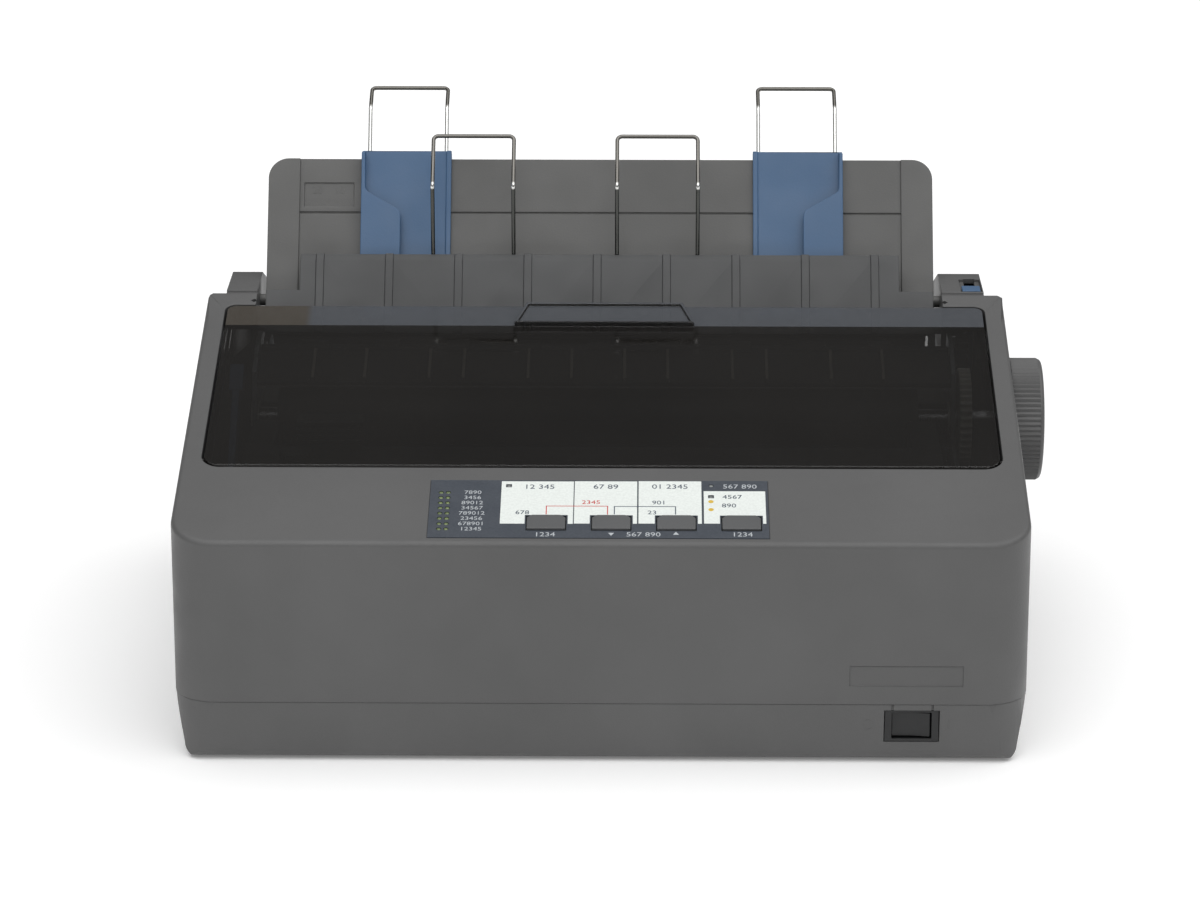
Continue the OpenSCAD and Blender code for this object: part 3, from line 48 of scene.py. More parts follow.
# ---- places, in the printer's own millimetres: X from the middle, Y from the front, Z from the desk ----
# the frame's origin in those millimetres
ORIGIN_X = 7.0
ORIGIN_Y = 137.5


def at(x, y, z):
    """A place of the printer in the frame, in metres."""
    return Vector((x - ORIGIN_X, y - ORIGIN_Y, z)) * MM


def tilted(origin, degrees):
    """Axes at this origin, turned about X."""
    return Matrix.Translation(origin) @ Matrix.Rotation(math.radians(degrees), 4, "X")


CASE_HALF = 174.0
CORNER_R = 18.0
FRONT_H = 94.9
DECK_SLOPE = 14.65
GUIDE_Y = 206
GUIDE_Z = 141.7
GUIDE_LEAN = 30
PARTING_Z = 26.3
PARTING_Y = 0.3
LOWER_FRONT_LEAN = 4.23

DECK = tilted(at(0, 0, FRONT_H), DECK_SLOPE)
GUIDE = tilted(at(0, GUIDE_Y, GUIDE_Z), -GUIDE_LEAN)
# the front of the lower case, from the parting line down
LOWER_FRONT = tilted(at(0, PARTING_Y, PARTING_Z), 90 + LOWER_FRONT_LEAN)


# ---- camera ----
def set_camera():
    """The photograph's camera, as it was fitted to the printer's width."""
    data = bpy.data.cameras.new("camera")
    camera = bpy.data.objects.new("camera", data)
    scene.collection.objects.link(camera)
    data.sensor_width = 36
    data.lens = 131.49
    data.dof.use_dof = False
    data.clip_start, data.clip_end = 0.05, 50
    look = Vector((-0.01046, 0.95100, -0.30902))
    camera.location = Vector((11.19, -1796.85, 670.9)) * MM
    camera.rotation_mode = "QUATERNION"
    camera.rotation_quaternion = look.to_track_quat("-Z", "Y")
    scene.camera = camera


# ---- studio ----
WORLD_STRENGTH = 0.22
FLOOR_SIZE = 12
# each sun's place, strength and angle in degrees
SUNS = {
    "key": ((-0.5, -1.15, 1.7), 0.45, 60),
    "overhead": ((0.3, -0.3, 1.9), 2.25, 90),
}


def set_studio():
    """An even white world, two wide suns and a white floor."""
    scene.view_settings.view_transform = "Standard"
    world = bpy.data.worlds.new("studio")
    world.use_nodes = True
    background = world.node_tree.nodes["Background"]
    background.inputs["Color"].default_value = (1, 1, 1, 1)
    background.inputs["Strength"].default_value = WORLD_STRENGTH
    scene.world = world
    for name, (spot, strength, spread) in SUNS.items():
        data = bpy.data.lights.new(name, "SUN")
        data.energy = strength
        data.angle = math.radians(spread)
        lamp = bpy.data.objects.new(name, data)
        lamp.location = spot
        lamp.rotation_mode = "QUATERNION"
        lamp.rotation_quaternion = (-Vector(spot)).to_track_quat("-Z", "Y")
        scene.collection.objects.link(lamp)
    bm = bmesh.new()
    bmesh.ops.create_grid(bm, x_segments=1, y_segments=1, size=FLOOR_SIZE)
    floor = placed_mesh("floor", bm)
    floor.data.materials.append(plain_floor())


# ---- materials ----
def tint(code):
    """The linear colour of a code such as #808080."""
    def linear(v):
        v /= 255
        return v / 12.92 if v <= 0.04045 else ((v + 0.055) / 1.055) ** 2.4
    return tuple(linear(int(code[i:i + 2], 16)) for i in (1, 3, 5)) + (1.0,)


def shade(code, factor):
    """The linear colour of a code, made lighter or darker by a factor."""
    r, g, b, a = tint(code)
    return (min(r * factor, 1), min(g * factor, 1), min(b * factor, 1), a)


class Finish:
    """A material with its shader, and the coordinates that its patterns read."""

    def __init__(self, name, code, rough, metal=0.0):
        self.material = bpy.data.materials.new(name)
        self.material.use_nodes = True
        self.tree = self.material.node_tree
        self.shader = self.tree.nodes["Principled BSDF"]
        self.set("Base Color", tint(code))
        self.set("Roughness", rough)
        self.set("Metallic", metal)
        self.coords = self.tree.nodes.new("ShaderNodeTexCoord").outputs["Object"]
        self.height = None

    def set(self, socket, value):
        self.shader.inputs[socket].default_value = value
        return self

    def node(self, kind, **inputs):
        made = self.tree.nodes.new(kind)
        for key, value in inputs.items():
            self.put(made.inputs[key.replace("_", " ")], value)
        return made

    def put(self, socket, value):
        if isinstance(value, bpy.types.NodeSocket):
            self.tree.links.new(value, socket)
        else:
            socket.default_value = value

    def noise(self, scale, detail=2.0, rough=0.5, stretch=None):
        source = self.coords
        if stretch:
            source = self.node("ShaderNodeMapping", Vector=source, Scale=stretch).outputs["Vector"]
        made = self.node("ShaderNodeTexNoise", Vector=source, Scale=scale, Detail=detail, Roughness=rough)
        return made.outputs["Fac"]

    def ramp(self, value, low, high, at_low=0.35, at_high=0.65):
        """The value put between low and high, which it reaches at at_low and at_high."""
        made = self.node("ShaderNodeMapRange", Value=value)
        for key, v in zip(("From Min", "From Max", "To Min", "To Max"), (at_low, at_high, low, high)):
            made.inputs[key].default_value = v
        return made.outputs["Result"]

    def math(self, operation, a, b=0.0):
        made = self.tree.nodes.new("ShaderNodeMath")
        made.operation = operation
        self.put(made.inputs[0], a)
        self.put(made.inputs[1], b)
        return made.outputs[0]

    def mix(self, factor, a, b):
        """Two colours mixed, each a code, a linear colour or a socket."""
        made = self.tree.nodes.new("ShaderNodeMix")
        made.data_type = "RGBA"
        self.put(made.inputs[0], factor)
        self.put(made.inputs[6], tint(a) if isinstance(a, str) else a)
        self.put(made.inputs[7], tint(b) if isinstance(b, str) else b)
        return made.outputs[2]

    def axis(self, letter):
        return self.node("ShaderNodeSeparateXYZ", Vector=self.coords).outputs[letter]

    def colour(self, output):
        self.tree.links.new(output, self.shader.inputs["Base Color"])
        return self

    def rough(self, output):
        self.tree.links.new(output, self.shader.inputs["Roughness"])
        return self

    def mottle(self, a, b, scale, detail, stretch=None):
        """Colour that goes between a and b in patches."""
        return self.colour(self.mix(self.ramp(self.noise(scale, detail, stretch=stretch), 0, 1), a, b))

    def wear(self, low, high, scale, detail, stretch=None):
        """Roughness that goes between low and high in patches."""
        return self.rough(self.ramp(self.noise(scale, detail, stretch=stretch), low, high))

    def bump(self, height, depth, strength=1.0):
        """Stacks a bump of this depth in metres on those before it."""
        made = self.node("ShaderNodeBump", Height=height, Distance=depth, Strength=strength)
        if self.height:
            self.tree.links.new(self.height, made.inputs["Normal"])
        self.height = made.outputs["Normal"]
        self.tree.links.new(self.height, self.shader.inputs["Normal"])
        return self


def moulded(name, code, rough=0.5, grain=2600, depth=0.00006, spread=0.07):
    """Moulded plastic: a fine sparked grain, slow changes of colour, and duller spots."""
    f = Finish(name, code, rough)
    slow = f.math("MULTIPLY", f.noise(14, 3), 0.75)
    fine = f.math("MULTIPLY", f.noise(grain, 2), 0.25)
    shift = f.ramp(f.math("ADD", slow, fine), 0, 1)
    f.colour(f.mix(shift, shade(code, 1 - spread), shade(code, 1 + spread)))
    f.wear(rough - 0.05, rough + 0.06, 60, 4)
    f.bump(f.noise(grain * 0.45, 3, 0.6), depth)
    return f


def case_plastic():
    return moulded("case_plastic", "#575757", 0.47, 2400, 0.00007).set("IOR", 1.49).material


def guide_plastic():
    return moulded("guide_plastic", "#5a5a59", 0.44, 2600, 0.00005).set("IOR", 1.49).material


def smoked_plastic():
    f = Finish("smoked_plastic", "#191715", 0.07)
    f.wear(0.04, 0.11, 40, 3)
    f.mottle("#161412", "#1d1b19", 9, 2)
    f.bump(f.noise(18, 2), 0.00012, 0.35)
    return f.set("Alpha", 0.62).set("IOR", 1.5).material


def strip_painted_reflection():
    """The cover's rear strip, a painted reflection of the ribbed panel, brownish at its left end and bluish
    from there on.
    """
    f = Finish("strip_painted_reflection", "#4a4c50", 0.2)
    # painted reflection: brownish at the strip's left end, bluish from there on
    f.colour(f.mix(f.ramp(f.axis("X"), 0, 1, -0.137, -0.134), "#454039", "#4b4e53"))
    f.wear(0.16, 0.25, 300, 3)
    f.bump(f.noise(700, 3), 0.00002)
    return f.set("Alpha", 0.86).material


def ribbed_plastic():
    return moulded("ribbed_plastic", "#414243", 0.42, 1800, 0.00003, 0.09).set("Alpha", 0.9).material


def blue_plastic():
    return moulded("blue_plastic", "#406083", 0.4, 2000, 0.00004, 0.06).material


def wire_with_painted_light(name, below, above, knee):
    """Drawn wire, brighter or darker above its knee as painted reflection, with a painted highlight where
    the knee turns.
    """
    f = Finish(name, below, 0.15, 1.0)
    f.wear(0.1, 0.24, 900, 3, (1, 1, 0.15))
    height = f.axis("Z")
    # painted reflection: one tone below the knee and another above it
    painted_reflection_tone = f.mix(f.ramp(height, 0, 1, (knee - 0.8) * MM, (knee + 0.8) * MM), below, above)
    from_knee = f.math("ABSOLUTE", f.math("SUBTRACT", height, knee * MM))
    # painted highlight in a band around the knee
    f.colour(f.mix(f.ramp(from_knee, 1, 0, 0.9 * MM, 1.7 * MM), painted_reflection_tone, "#e9e9e6"))
    return f.material


def front_wire_steel():
    # darker below the knee and lighter above it, as painted reflection, with a painted highlight at the
    # knee
    return wire_with_painted_light("front_wire_steel", "#4b4c4a", "#73716d", 189.7)


def rear_wire_steel():
    # bright below the knee and darker above it, as painted reflection, with a painted highlight at the knee
    return wire_with_painted_light("rear_wire_steel", "#dadad8", "#6f6d68", 212.7)


def turned_steel():
    f = Finish("turned_steel", "#a9abad", 0.28, 1.0)
    f.wear(0.2, 0.36, 500, 4, (30, 1, 1))
    f.bump(f.noise(900, 2, stretch=(20, 1, 1)), 0.00001)
    return f.material


def sheet_zinc():
    f = Finish("sheet_zinc", "#8c9195", 0.42, 1.0)
    cells = f.node("ShaderNodeTexVoronoi", Vector=f.coords, Scale=160.0)
    f.colour(f.mix(f.ramp(cells.outputs["Color"], 0, 1, 0, 1), "#7d8286", "#a3a8ac"))
    f.wear(0.34, 0.52, 500, 3, (1, 12, 12))
    return f.material


def black_plastic():
    return moulded("black_plastic", "#18191a", 0.38, 2000, 0.00004, 0.1).material


def white_acetal():
    f = moulded("white_acetal", "#d3d1c8", 0.35, 1500, 0.00002, 0.03)
    return f.set("Subsurface Weight", 0.05).material


def platen_rubber():
    f = Finish("platen_rubber", "#1b1c1d", 0.62)
    f.wear(0.52, 0.72, 700, 4, (6, 1, 1))
    f.mottle("#161718", "#232425", 90, 4, (0.4, 1, 1))
    f.bump(f.noise(2600, 2), 0.00003)
    return f.material


def foot_rubber():
    return moulded("foot_rubber", "#222222", 0.75, 1300, 0.00008, 0.12).material


def board_green():
    f = Finish("board_green", "#21482c", 0.34)
    tracks = f.node("ShaderNodeTexBrick", Vector=f.coords, Scale=34.0)
    tracks.inputs["Mortar Size"].default_value = 0.006
    tracks.inputs["Color1"].default_value = tint("#1f4429")
    tracks.inputs["Color2"].default_value = tint("#275534")
    tracks.inputs["Mortar"].default_value = tint("#3b7449")
    f.colour(tracks.outputs["Color"])
    f.wear(0.28, 0.42, 200, 3)
    return f.material


def inked_ribbon():
    f = Finish("inked_ribbon", "#0d0d10", 0.8)
    weave = f.node("ShaderNodeTexWave", Vector=f.coords, Scale=900.0, Distortion=0.6)
    f.bump(weave.outputs["Fac"], 0.00008)
    f.colour(f.mix(weave.outputs["Fac"], "#0a0a0c", "#19191d"))
    return f.material


def label_film():
    f = Finish("label_film", "#3d434c", 0.33)
    f.mottle("#3a4049", "#40464f", 900, 2)
    f.wear(0.28, 0.4, 120, 3)
    f.bump(f.noise(1500, 2), 0.00002)
    return f.material


def ink(name, code):
    f = Finish(name, code, 0.45)
    f.mottle(shade(code, 0.95), shade(code, 1.04), 1100, 2)
    f.wear(0.38, 0.52, 300, 3)
    return f.material


def white_ink():
    return ink("white_ink", "#e9eeea")


def pale_ink():
    return ink("pale_ink", "#b9bec2")


def dark_ink():
    return ink("dark_ink", "#3f4c5c")


def red_ink():
    return ink("red_ink", "#c9453f")


def yellow_ink():
    return ink("yellow_ink", "#d9b43c")


def button_plastic():
    return moulded("button_plastic", "#545556", 0.42, 1900, 0.00005).material


def lens(name, code, dark, light):
    return Finish(name, code, 0.25).mottle(dark, light, 700, 2).set("Coat Weight", 0.4).material


def lamp_lens():
    return lens("lamp_lens", "#5f6e44", "#56643e", "#74824f")


def grey_lens():
    return lens("grey_lens", "#777b7a", "#6d7170", "#818584")


def rib_top_painted_highlight():
    # a lighter tone for the rib tops, a painted highlight
    return moulded("rib_top_painted_highlight", "#8d877d", 0.3, 1800, 0.00003, 0.08).material


def brush_fibre():
    return moulded("brush_fibre", "#111111", 0.8, 1500, 0.00005, 0.15).material


def plain_floor():
    f = Finish("plain_floor", "#fafafa", 0.9).mottle("#f9f9f9", "#fbfbfb", 3, 2)
    return f.set("Emission Color", (1, 1, 1, 1)).set("Emission Strength", 0.15).material


MATERIALS = {}


def finish(make):
    """The material that a function makes, made once."""
    if make.__name__ not in MATERIALS:
        MATERIALS[make.__name__] = make()
    return MATERIALS[make.__name__]


# ---- meshes ----
# vertices closer than this, in millimetres, are merged in the copy of a node
MERGE = 0.004
# edges that turn by more than these degrees are rounded, or shaded sharp
ROUNDED_ANGLE = 32
SHADED_ANGLE = 40
EDGE_R = 0.3


def placed_mesh(name, bm, matrix=None):
    """An object at the origin from a bmesh, its place put in the mesh."""
    if matrix is not None:
        bmesh.ops.transform(bm, matrix=matrix, verts=bm.verts[:])
    mesh = bpy.data.meshes.new(name)
    bm.to_mesh(mesh)
    bm.free()
    made = bpy.data.objects.new(name, mesh)
    scene.collection.objects.link(made)
    return made


def smooth(made, degrees, weighted):
    made.data.shade_smooth()
    made.data.set_sharp_from_angle(angle=math.radians(degrees))
    if weighted:
        even = made.modifiers.new("even_normals", "WEIGHTED_NORMAL")
        even.keep_sharp = True


def copy_of(node):
    """The mesh of a CAD node as a bmesh, with its doubles merged."""
    bm = bmesh.new()
    bm.from_mesh(nodes[node].data)
    bmesh.ops.remove_doubles(bm, verts=bm.verts[:], dist=MERGE * MM)
    return bm


def sharp_edges(bm, degrees=ROUNDED_ANGLE, keep=lambda edge: True):
    limit = math.radians(degrees)
    return [e for e in bm.edges if len(e.link_faces) == 2 and e.calc_face_angle(0) > limit and keep(e)]


def round_edges(bm, edges, width, segments=2):
    bmesh.ops.bevel(bm, geom=edges, offset=width * MM, offset_type="OFFSET", segments=segments, profile=0.5,
                    affect="EDGES", clamp_overlap=False, material=-1)


def dressed(node, make, bm, degrees=SHADED_ANGLE, weighted=True):
    """A finished piece that stands for a CAD node and rides on its body."""
    made = placed_mesh(node + "_dressed", bm)
    made.data.materials.append(finish(make))
    smooth(made, degrees, weighted)
    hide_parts(node)
    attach(made, body_of_node[node])
    return made


def softened(node, make, width):
    """A CAD node with its sharp edges rounded by width, in millimetres."""
    bm = copy_of(node)
    round_edges(bm, sharp_edges(bm), width)
    dressed(node, make, bm)


def kept(node, make):
    """A CAD node whose shape is right keeps its mesh and gets this finish."""
    nodes[node].data.materials.clear()
    nodes[node].data.materials.append(finish(make))


def extra(name, bm, make, body, matrix):
    """A piece that the CAD model doesn't have, on one of its bodies."""
    made = placed_mesh(name, bm, matrix)
    made.data.materials.append(finish(make))
    smooth(made, SHADED_ANGLE, False)
    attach(made, body)


def verts_of(made):
    """The vertices among what a bmesh operator returns."""
    return [g for g in made["geom"] if isinstance(g, bmesh.types.BMVert)]


def slab(bm, x0, y0, x1, y1, z0, z1):
    """A box between two corners, in millimetres."""
    made = bmesh.ops.create_cube(bm, size=1)["verts"]
    bmesh.ops.scale(bm, vec=Vector((x1 - x0, y1 - y0, z1 - z0)) * MM, verts=made)
    bmesh.ops.translate(bm, vec=Vector((x0 + x1, y0 + y1, z0 + z1)) * MM / 2, verts=made)


# ---- case ----
DECK_RIM_R = 2.0
DECK_RIM_ANGLE = 20
UPPER_SHADED_ANGLE = 35
LOWER_SHADED_ANGLE = 9
# how far inside the outline an edge may be and still count as on it
CORNER_SLACK = 0.4
SIDE_SLACK = 0.3


def on_outline(point):
    """True where a point, in the printer's millimetres, is on the outer outline of the deck."""
    x, y = abs(point.x), point.y
    if x > CASE_HALF - CORNER_R and y < CORNER_R:
        return math.hypot(x - CASE_HALF + CORNER_R, y - CORNER_R) > CORNER_R - CORNER_SLACK
    return x > CASE_HALF - SIDE_SLACK or y < SIDE_SLACK


def upper_case():
    """The upper case, its deck's outer edge rounder than the others."""
    bm = copy_of("upper_case")
    up = DECK.to_3x3() @ Vector((0, 0, 1))
    to_deck = DECK.inverted()
    origin = Vector((ORIGIN_X, ORIGIN_Y, 0))

    def deck_rim(edge):
        middle = (edge.verts[0].co + edge.verts[1].co) / 2
        return (abs((to_deck @ middle).z) < 0.03 * MM and on_outline(middle / MM + origin)
                and any(f.normal.dot(up) > 0.999 for f in edge.link_faces))
    round_edges(bm, sharp_edges(bm, DECK_RIM_ANGLE, deck_rim), DECK_RIM_R, 5)
    round_edges(bm, sharp_edges(bm), EDGE_R)
    dressed("upper_case", case_plastic, bm, degrees=UPPER_SHADED_ANGLE)


def lower_case():
    """The lower case, shaded smooth across small turns only."""
    bm = copy_of("lower_case")
    round_edges(bm, sharp_edges(bm), EDGE_R)
    dressed("lower_case", case_plastic, bm, degrees=LOWER_SHADED_ANGLE, weighted=False)


def ring(bm, radius, width, height):
    """A flat ring in an empty bmesh, all in metres."""
    bmesh.ops.create_circle(bm, segments=40, radius=radius + width / 2)
    inner = bmesh.ops.extrude_edge_only(bm, edges=bm.edges[:])
    shrink = (radius - width / 2) / (radius + width / 2)
    bmesh.ops.scale(bm, vec=Vector((1, 1, 1)) * shrink, verts=verts_of(inner))
    top = bmesh.ops.extrude_face_region(bm, geom=bm.faces[:])
    bmesh.ops.translate(bm, vec=(0, 0, height), verts=verts_of(top))


def switch_marks():
    """The round and the upright mark beside the switch."""
    sunk, proud = -0.02, 0.12
    bm = bmesh.new()
    ring(bm, 2.1 * MM, 0.35 * MM, proud * MM)
    bmesh.ops.translate(bm, vec=Vector((108.7, -9.1, sunk)) * MM, verts=bm.verts[:])
    slab(bm, 141.3, -11.1, 141.7, -7.1, sunk, proud)
    bmesh.ops.recalc_face_normals(bm, faces=bm.faces[:])
    extra("switch_marks", bm, case_plastic, "case", LOWER_FRONT)


# ---- cover ----
# where the lighter strip of painted reflection along the cover's rear begins, along the deck
STRIP_S = 169.7


def printer_cover():
    """The smoked cover, cut at the seam of its strip, whose top faces have the second material, a painted
    reflection of the ribbed panel.
    """
    bm = copy_of("printer_cover")
    round_edges(bm, sharp_edges(bm), EDGE_R, 3)
    along = (DECK.to_3x3() @ Vector((0, 1, 0))).normalized()
    up = DECK.to_3x3() @ Vector((0, 0, 1))
    seam = DECK @ Vector((0, STRIP_S * MM, 0))
    everything = bm.verts[:] + bm.edges[:] + bm.faces[:]
    bmesh.ops.bisect_plane(bm, geom=everything, plane_co=seam, plane_no=along, dist=1e-7)
    for face in bm.faces:
        behind_seam = (face.calc_center_median() - seam).dot(along) > 0
        # the upward faces behind the seam get the painted reflection
        face.material_index = int(behind_seam and face.normal.dot(up) > 0.9)
    made = dressed("printer_cover", smoked_plastic, bm)
    made.data.materials.append(finish(strip_painted_reflection))


# ---- control panel, in millimetres on the deck ----
LABEL_TOP = 0.1
PRINT_T = 0.05
THICK_PRINT_T = 0.1
# the size of the font over the height of its figures
FONT_OVER_FIGURE = 1.38
ARROW_R = 1.4
DOT_R = 1.1

BUTTONS_X = [-22 + i * 26.3 for i in range(4)]
BUTTON_Y = 14.8
BUTTON_W = 15.6
BUTTON_D = 10.0
BUTTON_MARGIN = 0.9
LAMP_MARGIN = 1.2
LAMP_ROWS = [10.3 + i * 3.84 for i in range(8)]
FIELD_LAMPS = [(-37.7, 42.3), (44.8, 34.6)]
# left, front, right and back of each white field
FIELDS = [
    (-40.7, 14.3, -11.2, 45.6), (-10.8, 14.5, 14.7, 45.8),
    (15.3, 14.65, 40.9, 46.0), (41.8, 14.8, 66.9, 38.7)]

# text, middle and height of each number
LAMP_TEXTS = ["12345", "678901", "23456", "789012", "34567", "89012", "3456", "7890"]
PALE_TEXTS = [(text, -52.3, y, 2.6) for text, y in zip(LAMP_TEXTS, LAMP_ROWS)] + [
    ("1234", -22.4, 6.4, 3.1), ("567 890", 17.3, 6.6, 3.1),
    ("1234", 57.1, 6.8, 3.1), ("567 890", 56.6, 42.1, 3.1)]
DARK_TEXTS = [
    ("12 345", -25.2, 41.4, 3.3), ("67 89", 1.9, 41.6, 3.3), ("01 2345", 28.1, 41.8, 3.3),
    ("678", -31.8, 22.4, 2.8), ("901", 23.6, 29.9, 2.8), ("23", 20.8, 22.6, 2.8),
    ("4567", 53.4, 34.3, 2.9), ("890", 52.0, 27.9, 2.9)]
# the corners of each line
DARK_LINES = [(5.3, 26.9, 30.5, 27.3), (5.3, 21.3, 5.7, 27.3), (30.1, 21.3, 30.5, 27.3)]
RED_LINES = [(-22.3, 27.05, 2.95, 27.45), (-22.3, 21.1, -21.9, 27.45), (2.55, 21.1, 2.95, 27.45)]


def digits(bm, text, x, y, tall, height=PRINT_T):
    """A plain number in relief, x and y its middle on the label, in millimetres."""
    data = bpy.data.curves.new("number", "FONT")
    data.body = text
    data.size = tall * FONT_OVER_FIGURE * MM
    data.extrude = height * MM / 2
    data.align_x = data.align_y = "CENTER"
    data.resolution_u = 3
    word = bpy.data.objects.new("number", data)
    scene.collection.objects.link(word)
    bpy.context.view_layer.update()
    mesh = bpy.data.meshes.new_from_object(word)
    mesh.transform(Matrix.Translation(Vector((x, y, LABEL_TOP + height / 2)) * MM))
    bm.from_mesh(mesh)
    bpy.data.objects.remove(word)


def patch(bm, x0, y0, x1, y1, height=PRINT_T):
    """A printed rectangle on the label."""
    slab(bm, x0, y0, x1, y1, LABEL_TOP, LABEL_TOP + height)


def arrow(bm, x, y, degrees):
    """A printed triangle, its point up the deck and then turned by degrees."""
    made = bmesh.ops.create_circle(bm, cap_ends=True, segments=3, radius=ARROW_R * MM)["verts"]
    turn = Matrix.Rotation(math.radians(degrees), 3, "Z")
    bmesh.ops.rotate(bm, cent=(0, 0, 0), matrix=turn, verts=made)
    top = verts_of(bmesh.ops.extrude_face_region(bm, geom=made[0].link_faces[:]))
    bmesh.ops.translate(bm, vec=(0, 0, PRINT_T * MM), verts=top)
    bmesh.ops.translate(bm, vec=Vector((x, y, LABEL_TOP)) * MM, verts=made + top)


def field(bm, x0, y0, x1, y1):
    """A white field, with room for its button and its lamps."""
    button = min(BUTTONS_X, key=lambda x: abs(x - (x0 + x1) / 2))
    left = button - BUTTON_W / 2 - BUTTON_MARGIN
    right = button + BUTTON_W / 2 + BUTTON_MARGIN
    y = BUTTON_Y + BUTTON_D / 2 + BUTTON_MARGIN
    patch(bm, x0, y0, left, y)
    patch(bm, right, y0, x1, y)
    lamps = [lamp for lamp in FIELD_LAMPS if x0 < lamp[0] < x1 and y < lamp[1] < y1]
    for lamp_x, lamp_y in lamps:
        low, high = lamp_y - LAMP_MARGIN, lamp_y + LAMP_MARGIN
        patch(bm, x0, y, x1, low)
        patch(bm, x0, low, lamp_x - LAMP_MARGIN, high)
        patch(bm, lamp_x + LAMP_MARGIN, low, x1, high)
        y = high
    patch(bm, x0, y, x1, y1)


def on_label(name, bm, make):
    extra(name, bm, make, "case", DECK)


def label_fields():
    bm = bmesh.new()
    for corners in FIELDS:
        field(bm, *corners)
    on_label("label_fields", bm, white_ink)


def label_numbers():
    bm = bmesh.new()
    for text in PALE_TEXTS:
        digits(bm, *text)
    arrow(bm, 4.3, 7.1, -180)
    arrow(bm, 30.4, 7.3, 0)
    on_label("label_numbers", bm, pale_ink)


def label_figures():
    bm = bmesh.new()
    for text in DARK_TEXTS:
        digits(bm, *text, THICK_PRINT_T)
    for line in DARK_LINES:
        patch(bm, *line, THICK_PRINT_T)
    on_label("label_figures", bm, dark_ink)


def label_lines():
    bm = bmesh.new()
    digits(bm, "2345", -4.0, 30.0, 2.8, THICK_PRINT_T)
    for line in RED_LINES:
        patch(bm, *line, THICK_PRINT_T)
    on_label("label_lines", bm, red_ink)


def label_dots():
    bm = bmesh.new()
    for y in (25.0, 30.9):
        middle = Vector((44.7, y, LABEL_TOP + THICK_PRINT_T / 2)) * MM
        bmesh.ops.create_cone(bm, cap_ends=True, segments=16, radius1=DOT_R * MM, radius2=DOT_R * MM,
                              depth=THICK_PRINT_T * MM, matrix=Matrix.Translation(middle))
    on_label("label_dots", bm, yellow_ink)


# the lamps to the right of this are grey
GREEN_LAMPS_END_X = -50


def panel_lamps():
    """The lamps, green in the two rows and grey beside the fields."""
    bm = copy_of("panel_lamps")
    round_edges(bm, sharp_edges(bm), EDGE_R)
    green_end = at(GREEN_LAMPS_END_X, 0, 0).x
    for face in bm.faces:
        face.material_index = int(face.calc_center_median().x > green_end)
    made = dressed("panel_lamps", lamp_lens, bm)
    made.data.materials.append(finish(grey_lens))


# ---- paper scale, in millimetres along the guide's front ----
SCALE_T = 0.16
SCALE_X = -133.2
SCALE_TICKS = 22
TICK_W = 0.3
TICK_Y = 39.4
TICK_END_Y = 42.2
FIFTH_TICK_END_Y = 42.9
NUMBER_Y = 46.2
# how far behind the guide's origin its heights begin
SCALE_DEPTH = 1.74


def paper_scale():
    """Faint ticks and plain numbers in the box on the guide."""
    bm = bmesh.new()
    for text, x in (("20", -128.3), ("10", -118.4)):
        digits(bm, text, x, NUMBER_Y, 3.4, SCALE_T)
    for i in range(SCALE_TICKS):
        x = SCALE_X + i
        end = TICK_END_Y if i % 5 else FIFTH_TICK_END_Y
        slab(bm, x, TICK_Y, x + TICK_W, end, LABEL_TOP, LABEL_TOP + SCALE_T)
    upright = Matrix.Rotation(math.radians(90), 4, "X")
    place = GUIDE @ upright @ Matrix.Translation((0, 0, -SCALE_DEPTH * MM))
    extra("paper_scale", bm, guide_plastic, body_of_node["paper_guide"], place)


# ---- wires ----
WIRE_R = 0.9
BEND_R = 2.2
BEND_STEPS = 8
# the share of a straight length that a bend at its end may take
BEND_SHARE = 0.45

# a rear wire, on the guide: its end in the sleeve, its knee, and its top
SLEEVE_Y = 5.7
SLEEVE_Z = 34.2
REAR_KNEE_Z = 85.3
REAR_TOP_Y = 15.0
REAR_TOP_Z = 97.7

# a front wire: half its width, its turned-in feet, and its knee and top from there
FRONT_HALF = 17.75
FOOT_LEN = 6.0
FOOT_Y = 206.06
FOOT_Z = 151.66
FRONT_KNEE_UP = 38
FRONT_TOP_UP = 56
FRONT_TOP_BACK = 17


def bend(before, corner, after):
    """The points of a round bend at a corner."""
    a = (before - corner).normalized()
    b = (after - corner).normalized()
    half = a.angle(b) / 2
    longest = min((before - corner).length * BEND_SHARE, (after - corner).length * BEND_SHARE)
    cut = min(BEND_R / math.tan(half), longest)
    centre = corner + (a + b).normalized() * cut / math.cos(half)
    first = corner + a * cut - centre
    last = corner + b * cut - centre
    return [centre + first.slerp(last, i / BEND_STEPS) * first.length for i in range(BEND_STEPS + 1)]


def bent_wire(name, node, make, points, matrix):
    """A round wire along points, in millimetres, with a round bend at each corner."""
    corners = [Vector(point) for point in points]
    path = [corners[0]]
    for before, corner, after in zip(corners, corners[1:], corners[2:]):
        path += bend(before, corner, after)
    path.append(corners[-1])
    data = bpy.data.curves.new(name, "CURVE")
    data.dimensions = "3D"
    data.bevel_depth = WIRE_R * MM
    data.bevel_resolution = 5
    data.use_fill_caps = True
    line = data.splines.new("POLY")
    line.points.add(len(path) - 1)
    for p, q in zip(line.points, path):
        p.co = (*(matrix @ (q * MM)), 1)
    made = bpy.data.objects.new(name, data)
    scene.collection.objects.link(made)
    data.materials.append(finish(make))
    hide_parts(node)
    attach(made, body_of_node[node])


def rear_wire(side, x0, x1):
    side_points = [(SLEEVE_Y, SLEEVE_Z), (SLEEVE_Y, REAR_KNEE_Z), (REAR_TOP_Y, REAR_TOP_Z)]
    points = [(x0, y, z) for y, z in side_points] + [(x1, y, z) for y, z in reversed(side_points)]
    bent_wire(side + "_rear_wire", side + "_support_wire", rear_wire_steel, points, GUIDE)


